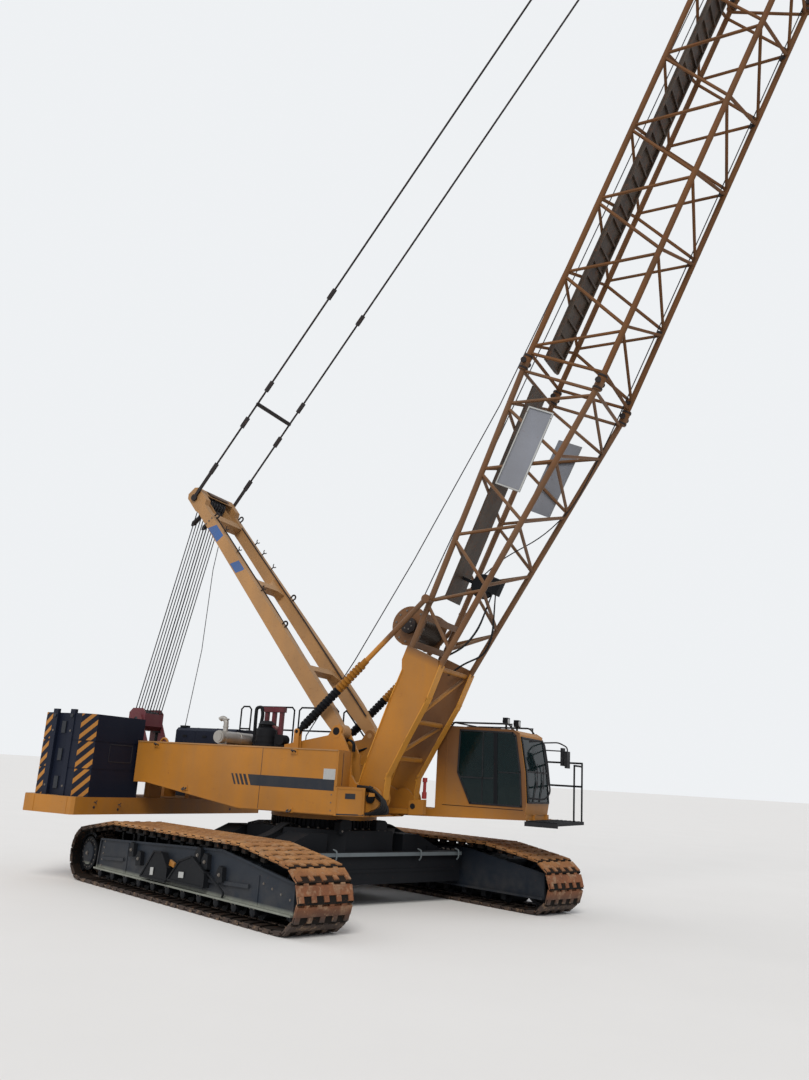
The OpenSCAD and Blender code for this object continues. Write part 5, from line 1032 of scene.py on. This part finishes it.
# frames of the two signs
for side in SIDES:
    corners = [on_boom(l, side * (leg_y(l) + 0.047), n) for l, n in SIGN]
    boom_frames.rim(corners, Y * side, 0.025, 0.012)
    for a, b in (corners[:2], corners[:1:-1]):
        boom_bolts.bolt_row(a + BOOM_X * 0.1, b - BOOM_X * 0.1, 4, Y * side, 0.012)
# winch: rope on the drum, motor and flange bolts
winch_rope.tube(coil(on_boom, WINCH_L, WINCH_N, 0.249, 0.41, 24, 14), 0.017, 6)
for side in SIDES:
    c, out = on_boom(WINCH_L, side * 0.467, WINCH_N), Y * side
    boom_bolts.bolt_ring(c, out, 0.30, 12, 0.016)
    boom_pins.tube([c, c + out * 0.09, c + out * 0.10], [0.15, 0.15, 0.12], 28)
    boom_bolts.bolt_ring(c + out * 0.10, out, 0.08, 6, 0.012)

# hoist rope from its drum over the boom's back to the head
THIN_ROPE_R, WIRE_R = 0.011, 0.008
rope_up.tube([on_boom(3.05, 0.0, 1.15), on_boom(12.0, 0.0, 1.02), on_boom(24.0, 0.0, 0.90),
              on_boom(33.1, 0.0, 0.70)], THIN_ROPE_R, 8)
make_pieces()


def spanning(name, points, radius):
    """A thin rope between two bodies, drawn where they stand; it is attached to neither of them."""
    rope = Shapes()
    fine = [mid(a, b, i / 8) for a, b in zip(points, points[1:]) for i in range(8)] + [points[-1]]
    rope.tube(fine, radius, 8)
    mesh = bpy.data.meshes.new(name)
    mesh.from_pydata(rope.vertices, [], rope.faces)
    made = placed(name, mesh)
    mesh.materials.append(FINISHES["rope_steel"])
    mesh.shade_smooth()
    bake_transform(made)


deck_rope = [Vector(p) for p in ((-0.58, 0, 2.30), (-0.56, 0, 2.90), (-0.28, 0, 3.33), (0.43, 0, 4.39),
                                 (1.60, 0, 6.34), (3.29, 0, 9.37))] + [on_boom(20, 0, 1.05), on_boom(33.2, 0, 0.72)]
spanning("deck_winch_rope", deck_rope, THIN_ROPE_R)
tension_wire = [Vector((-3.22, -0.48, 2.985)), Vector((-3.34, -0.10, 4.6)), Vector((-3.37, 0, 6.40)),
                on_mast(5.55, 0.0, 0.40)]
spanning("mast_signal_wire", tension_wire, WIRE_R)

# ---------------------------------------------------------------- mast
MAST_FOOT_Y, MAST_TIP_Y, LEG_HALF, COVER_R = 0.655, 0.52, 0.0755, 0.232
mast_brown, mast_blue, mast_dark, mast_bolts = pieces(
    "mast", mast_sheave_cover="cover_brown", mast_blue_patches="patch_blue",
    mast_rope_guides="pendant_steel", mast_bolts="bare_bolts")


def mast_y(l, lift=0.0):
    return MAST_FOOT_Y + (MAST_TIP_Y - MAST_FOOT_Y) * l / MAST_L + lift


for side in SIDES:
    guides = (5.75, 5.30, 4.67, 3.52, 2.54) if side < 0 else (6.05, 5.28, 4.95, 4.51, 3.59)
    for i, l in enumerate(guides):
        p = on_mast(l, side * mast_y(l), -0.14)
        if i in (0, 4):
            mast_dark.eye(p, MAST_X, -MAST_Z, 0.08, 0.018)
        else:
            mast_dark.hook(p, MAST_X, -MAST_Z, 0.11)
    for l0, l1 in ((5.09, 5.62), (4.15, 4.52)):
        half, l = (l1 - l0) / 2, (l0 + l1) / 2
        at = on_mast(l, side * mast_y(l, LEG_HALF), 0) + Y * (0.002 if side > 0 else 0)
        mast_blue.plate([(-half, -0.105), (half - 0.10, -0.105), (half, 0.105), (0.10 - half, 0.105)],
                        at, MAST_X, MAST_Z, 0.003)
    ends = [on_mast(5.75, side * mast_y(5.75, LEG_HALF), n) for n in (-0.09, 0.09)]
    mast_bolts.bolt_row(*ends, 3, Y * side, 0.016)
    # rope socket on the head and pipe along a leg
    mast_dark.tube([on_mast(6.36, side * 0.18, n) for n in (0.30, 0.52, 0.60)], [0.045, 0.06, 0.02], 14)
    mast_dark.pipe([on_mast(0.4, side * 0.545, -0.12), on_mast(3.0, side * 0.50, -0.15),
                    on_mast(5.8, side * 0.455, -0.13)], 0.3, 0.014, 8)
shell = arc(MAST_TIP, MAST_X, MAST_Z, COVER_R, -100, 60, 16)
for a, b in zip(shell, shell[1:]):
    c = (a + b) / 2
    mast_brown.bar(c - Y * 0.33, c + Y * 0.33, c - MAST_TIP, (b - a).length + 0.006, 0.012)
make_pieces()

# ---------------------------------------------------------------- luffing ropes and their sheaves
BLOCK = Vector((-4.75, 0, 3.11))
FALL_X = (MAST_TIP - BLOCK).normalized()
FALL_Z = FALL_X.cross(Y)
SHEAVES, SHEAVE_PITCH, LUFF_R, FALL_L = 6, 0.088, 0.165, 3.0
GROOVE_Y, GROOVE_R = (0.030, 0.024, 0.008), [0.185, 0.187, 0.160]


def luffing_falls(name, origin, away, length, node, body):
    """Twelve falls that leave six grooved sheaves on one pin."""
    falls = Shapes()
    for i in range(SHEAVES):
        sheave = origin + Y * ((i - (SHEAVES - 1) / 2) * SHEAVE_PITCH)
        for side in SIDES:
            a = sheave + FALL_Z * side * LUFF_R
            falls.tube([a, a + away * length], THIN_ROPE_R, 8)
        profile = [-y for y in GROOVE_Y] + [*GROOVE_Y[::-1]]
        falls.tube([sheave + Y * y for y in profile], GROOVE_R + GROOVE_R[::-1], 40)
    falls.stub(origin, Y, -0.31, 0.31, 0.044, 20)
    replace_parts(falls.make(name, "rope_steel", body), node)


luffing_falls("lower_luffing_falls", BLOCK, FALL_X, FALL_L, "luffing_ropes_lower", "luffing_ropes_lower")
luffing_falls("upper_luffing_falls", MAST_TIP, -FALL_X, FALL_L, "luffing_ropes_upper", "luffing_ropes_upper")

# ---------------------------------------------------------------- hook block
hook_bolts = Shapes()
block_mid = on_boom(BOOM_L - 0.30, 0, -0.55) - Z * 2.1
for side in SIDES:
    for radius, count in ((0.31, 8), (0.10, 6)):
        hook_bolts.bolt_ring(block_mid + Y * side * 0.215, Y * side, radius, count, 0.016)
hook_bolts.make("hook_block_bolts", "bare_bolts", "hook_block")

# ---------------------------------------------------------------- stage and light
FLOOR = 4000
floor_mesh = bpy.data.meshes.new("floor")
floor_mesh.from_pydata([(u, v, 0) for u, v in rect(FLOOR, FLOOR)], [], [(0, 1, 2, 3)])
floor = placed("floor", floor_mesh)
ground = Finish(bpy.data.materials.new("floor_finish"))
grey = ground.mix(ground.noise(0.4), (0.70, 0.69, 0.67), (0.74, 0.73, 0.71))
floor_mesh.materials.append(ground.surface(grey, 0.9))

# a bright sky where it is seen, and a softer one that lights the machine
bpy.context.scene.world = bpy.data.worlds.new("studio")
sky = Finish(bpy.context.scene.world)
light, seen_light = (sky.node("Background", {}, {"Color": colour, "Strength": strength}) for colour, strength in
                     (((0.93, 0.95, 1.0), 0.62), ((0.86, 0.88, 0.90), 1.0)))
seen = sky.node("Math", {"operation": "MAXIMUM"}, {0: sky.source("LightPath", "Is Camera Ray"),
                                                   1: sky.source("LightPath", "Is Transmission Ray")})
sky.node("OutputWorld", {}, {"Surface": sky.node("MixShader", {}, {0: seen, 1: light, 2: seen_light})})


def sun(name, towards, strength, angle, colour=(1, 1, 1)):
    lamp = bpy.data.lights.new(name, "SUN")
    lamp.energy, lamp.angle, lamp.color = strength, math.radians(angle), colour
    made = placed(name, lamp)
    made.rotation_mode = "QUATERNION"
    made.rotation_quaternion = Vector(towards).to_track_quat("-Z", "Y")


sun("key_light", (-0.35, 0.75, -0.75), 2.0, 25, (1.0, 0.98, 0.95))
sun("fill_light", (0.8, 0.2, -0.35), 0.6, 60)
bpy.context.scene.view_settings.view_transform = "Standard"
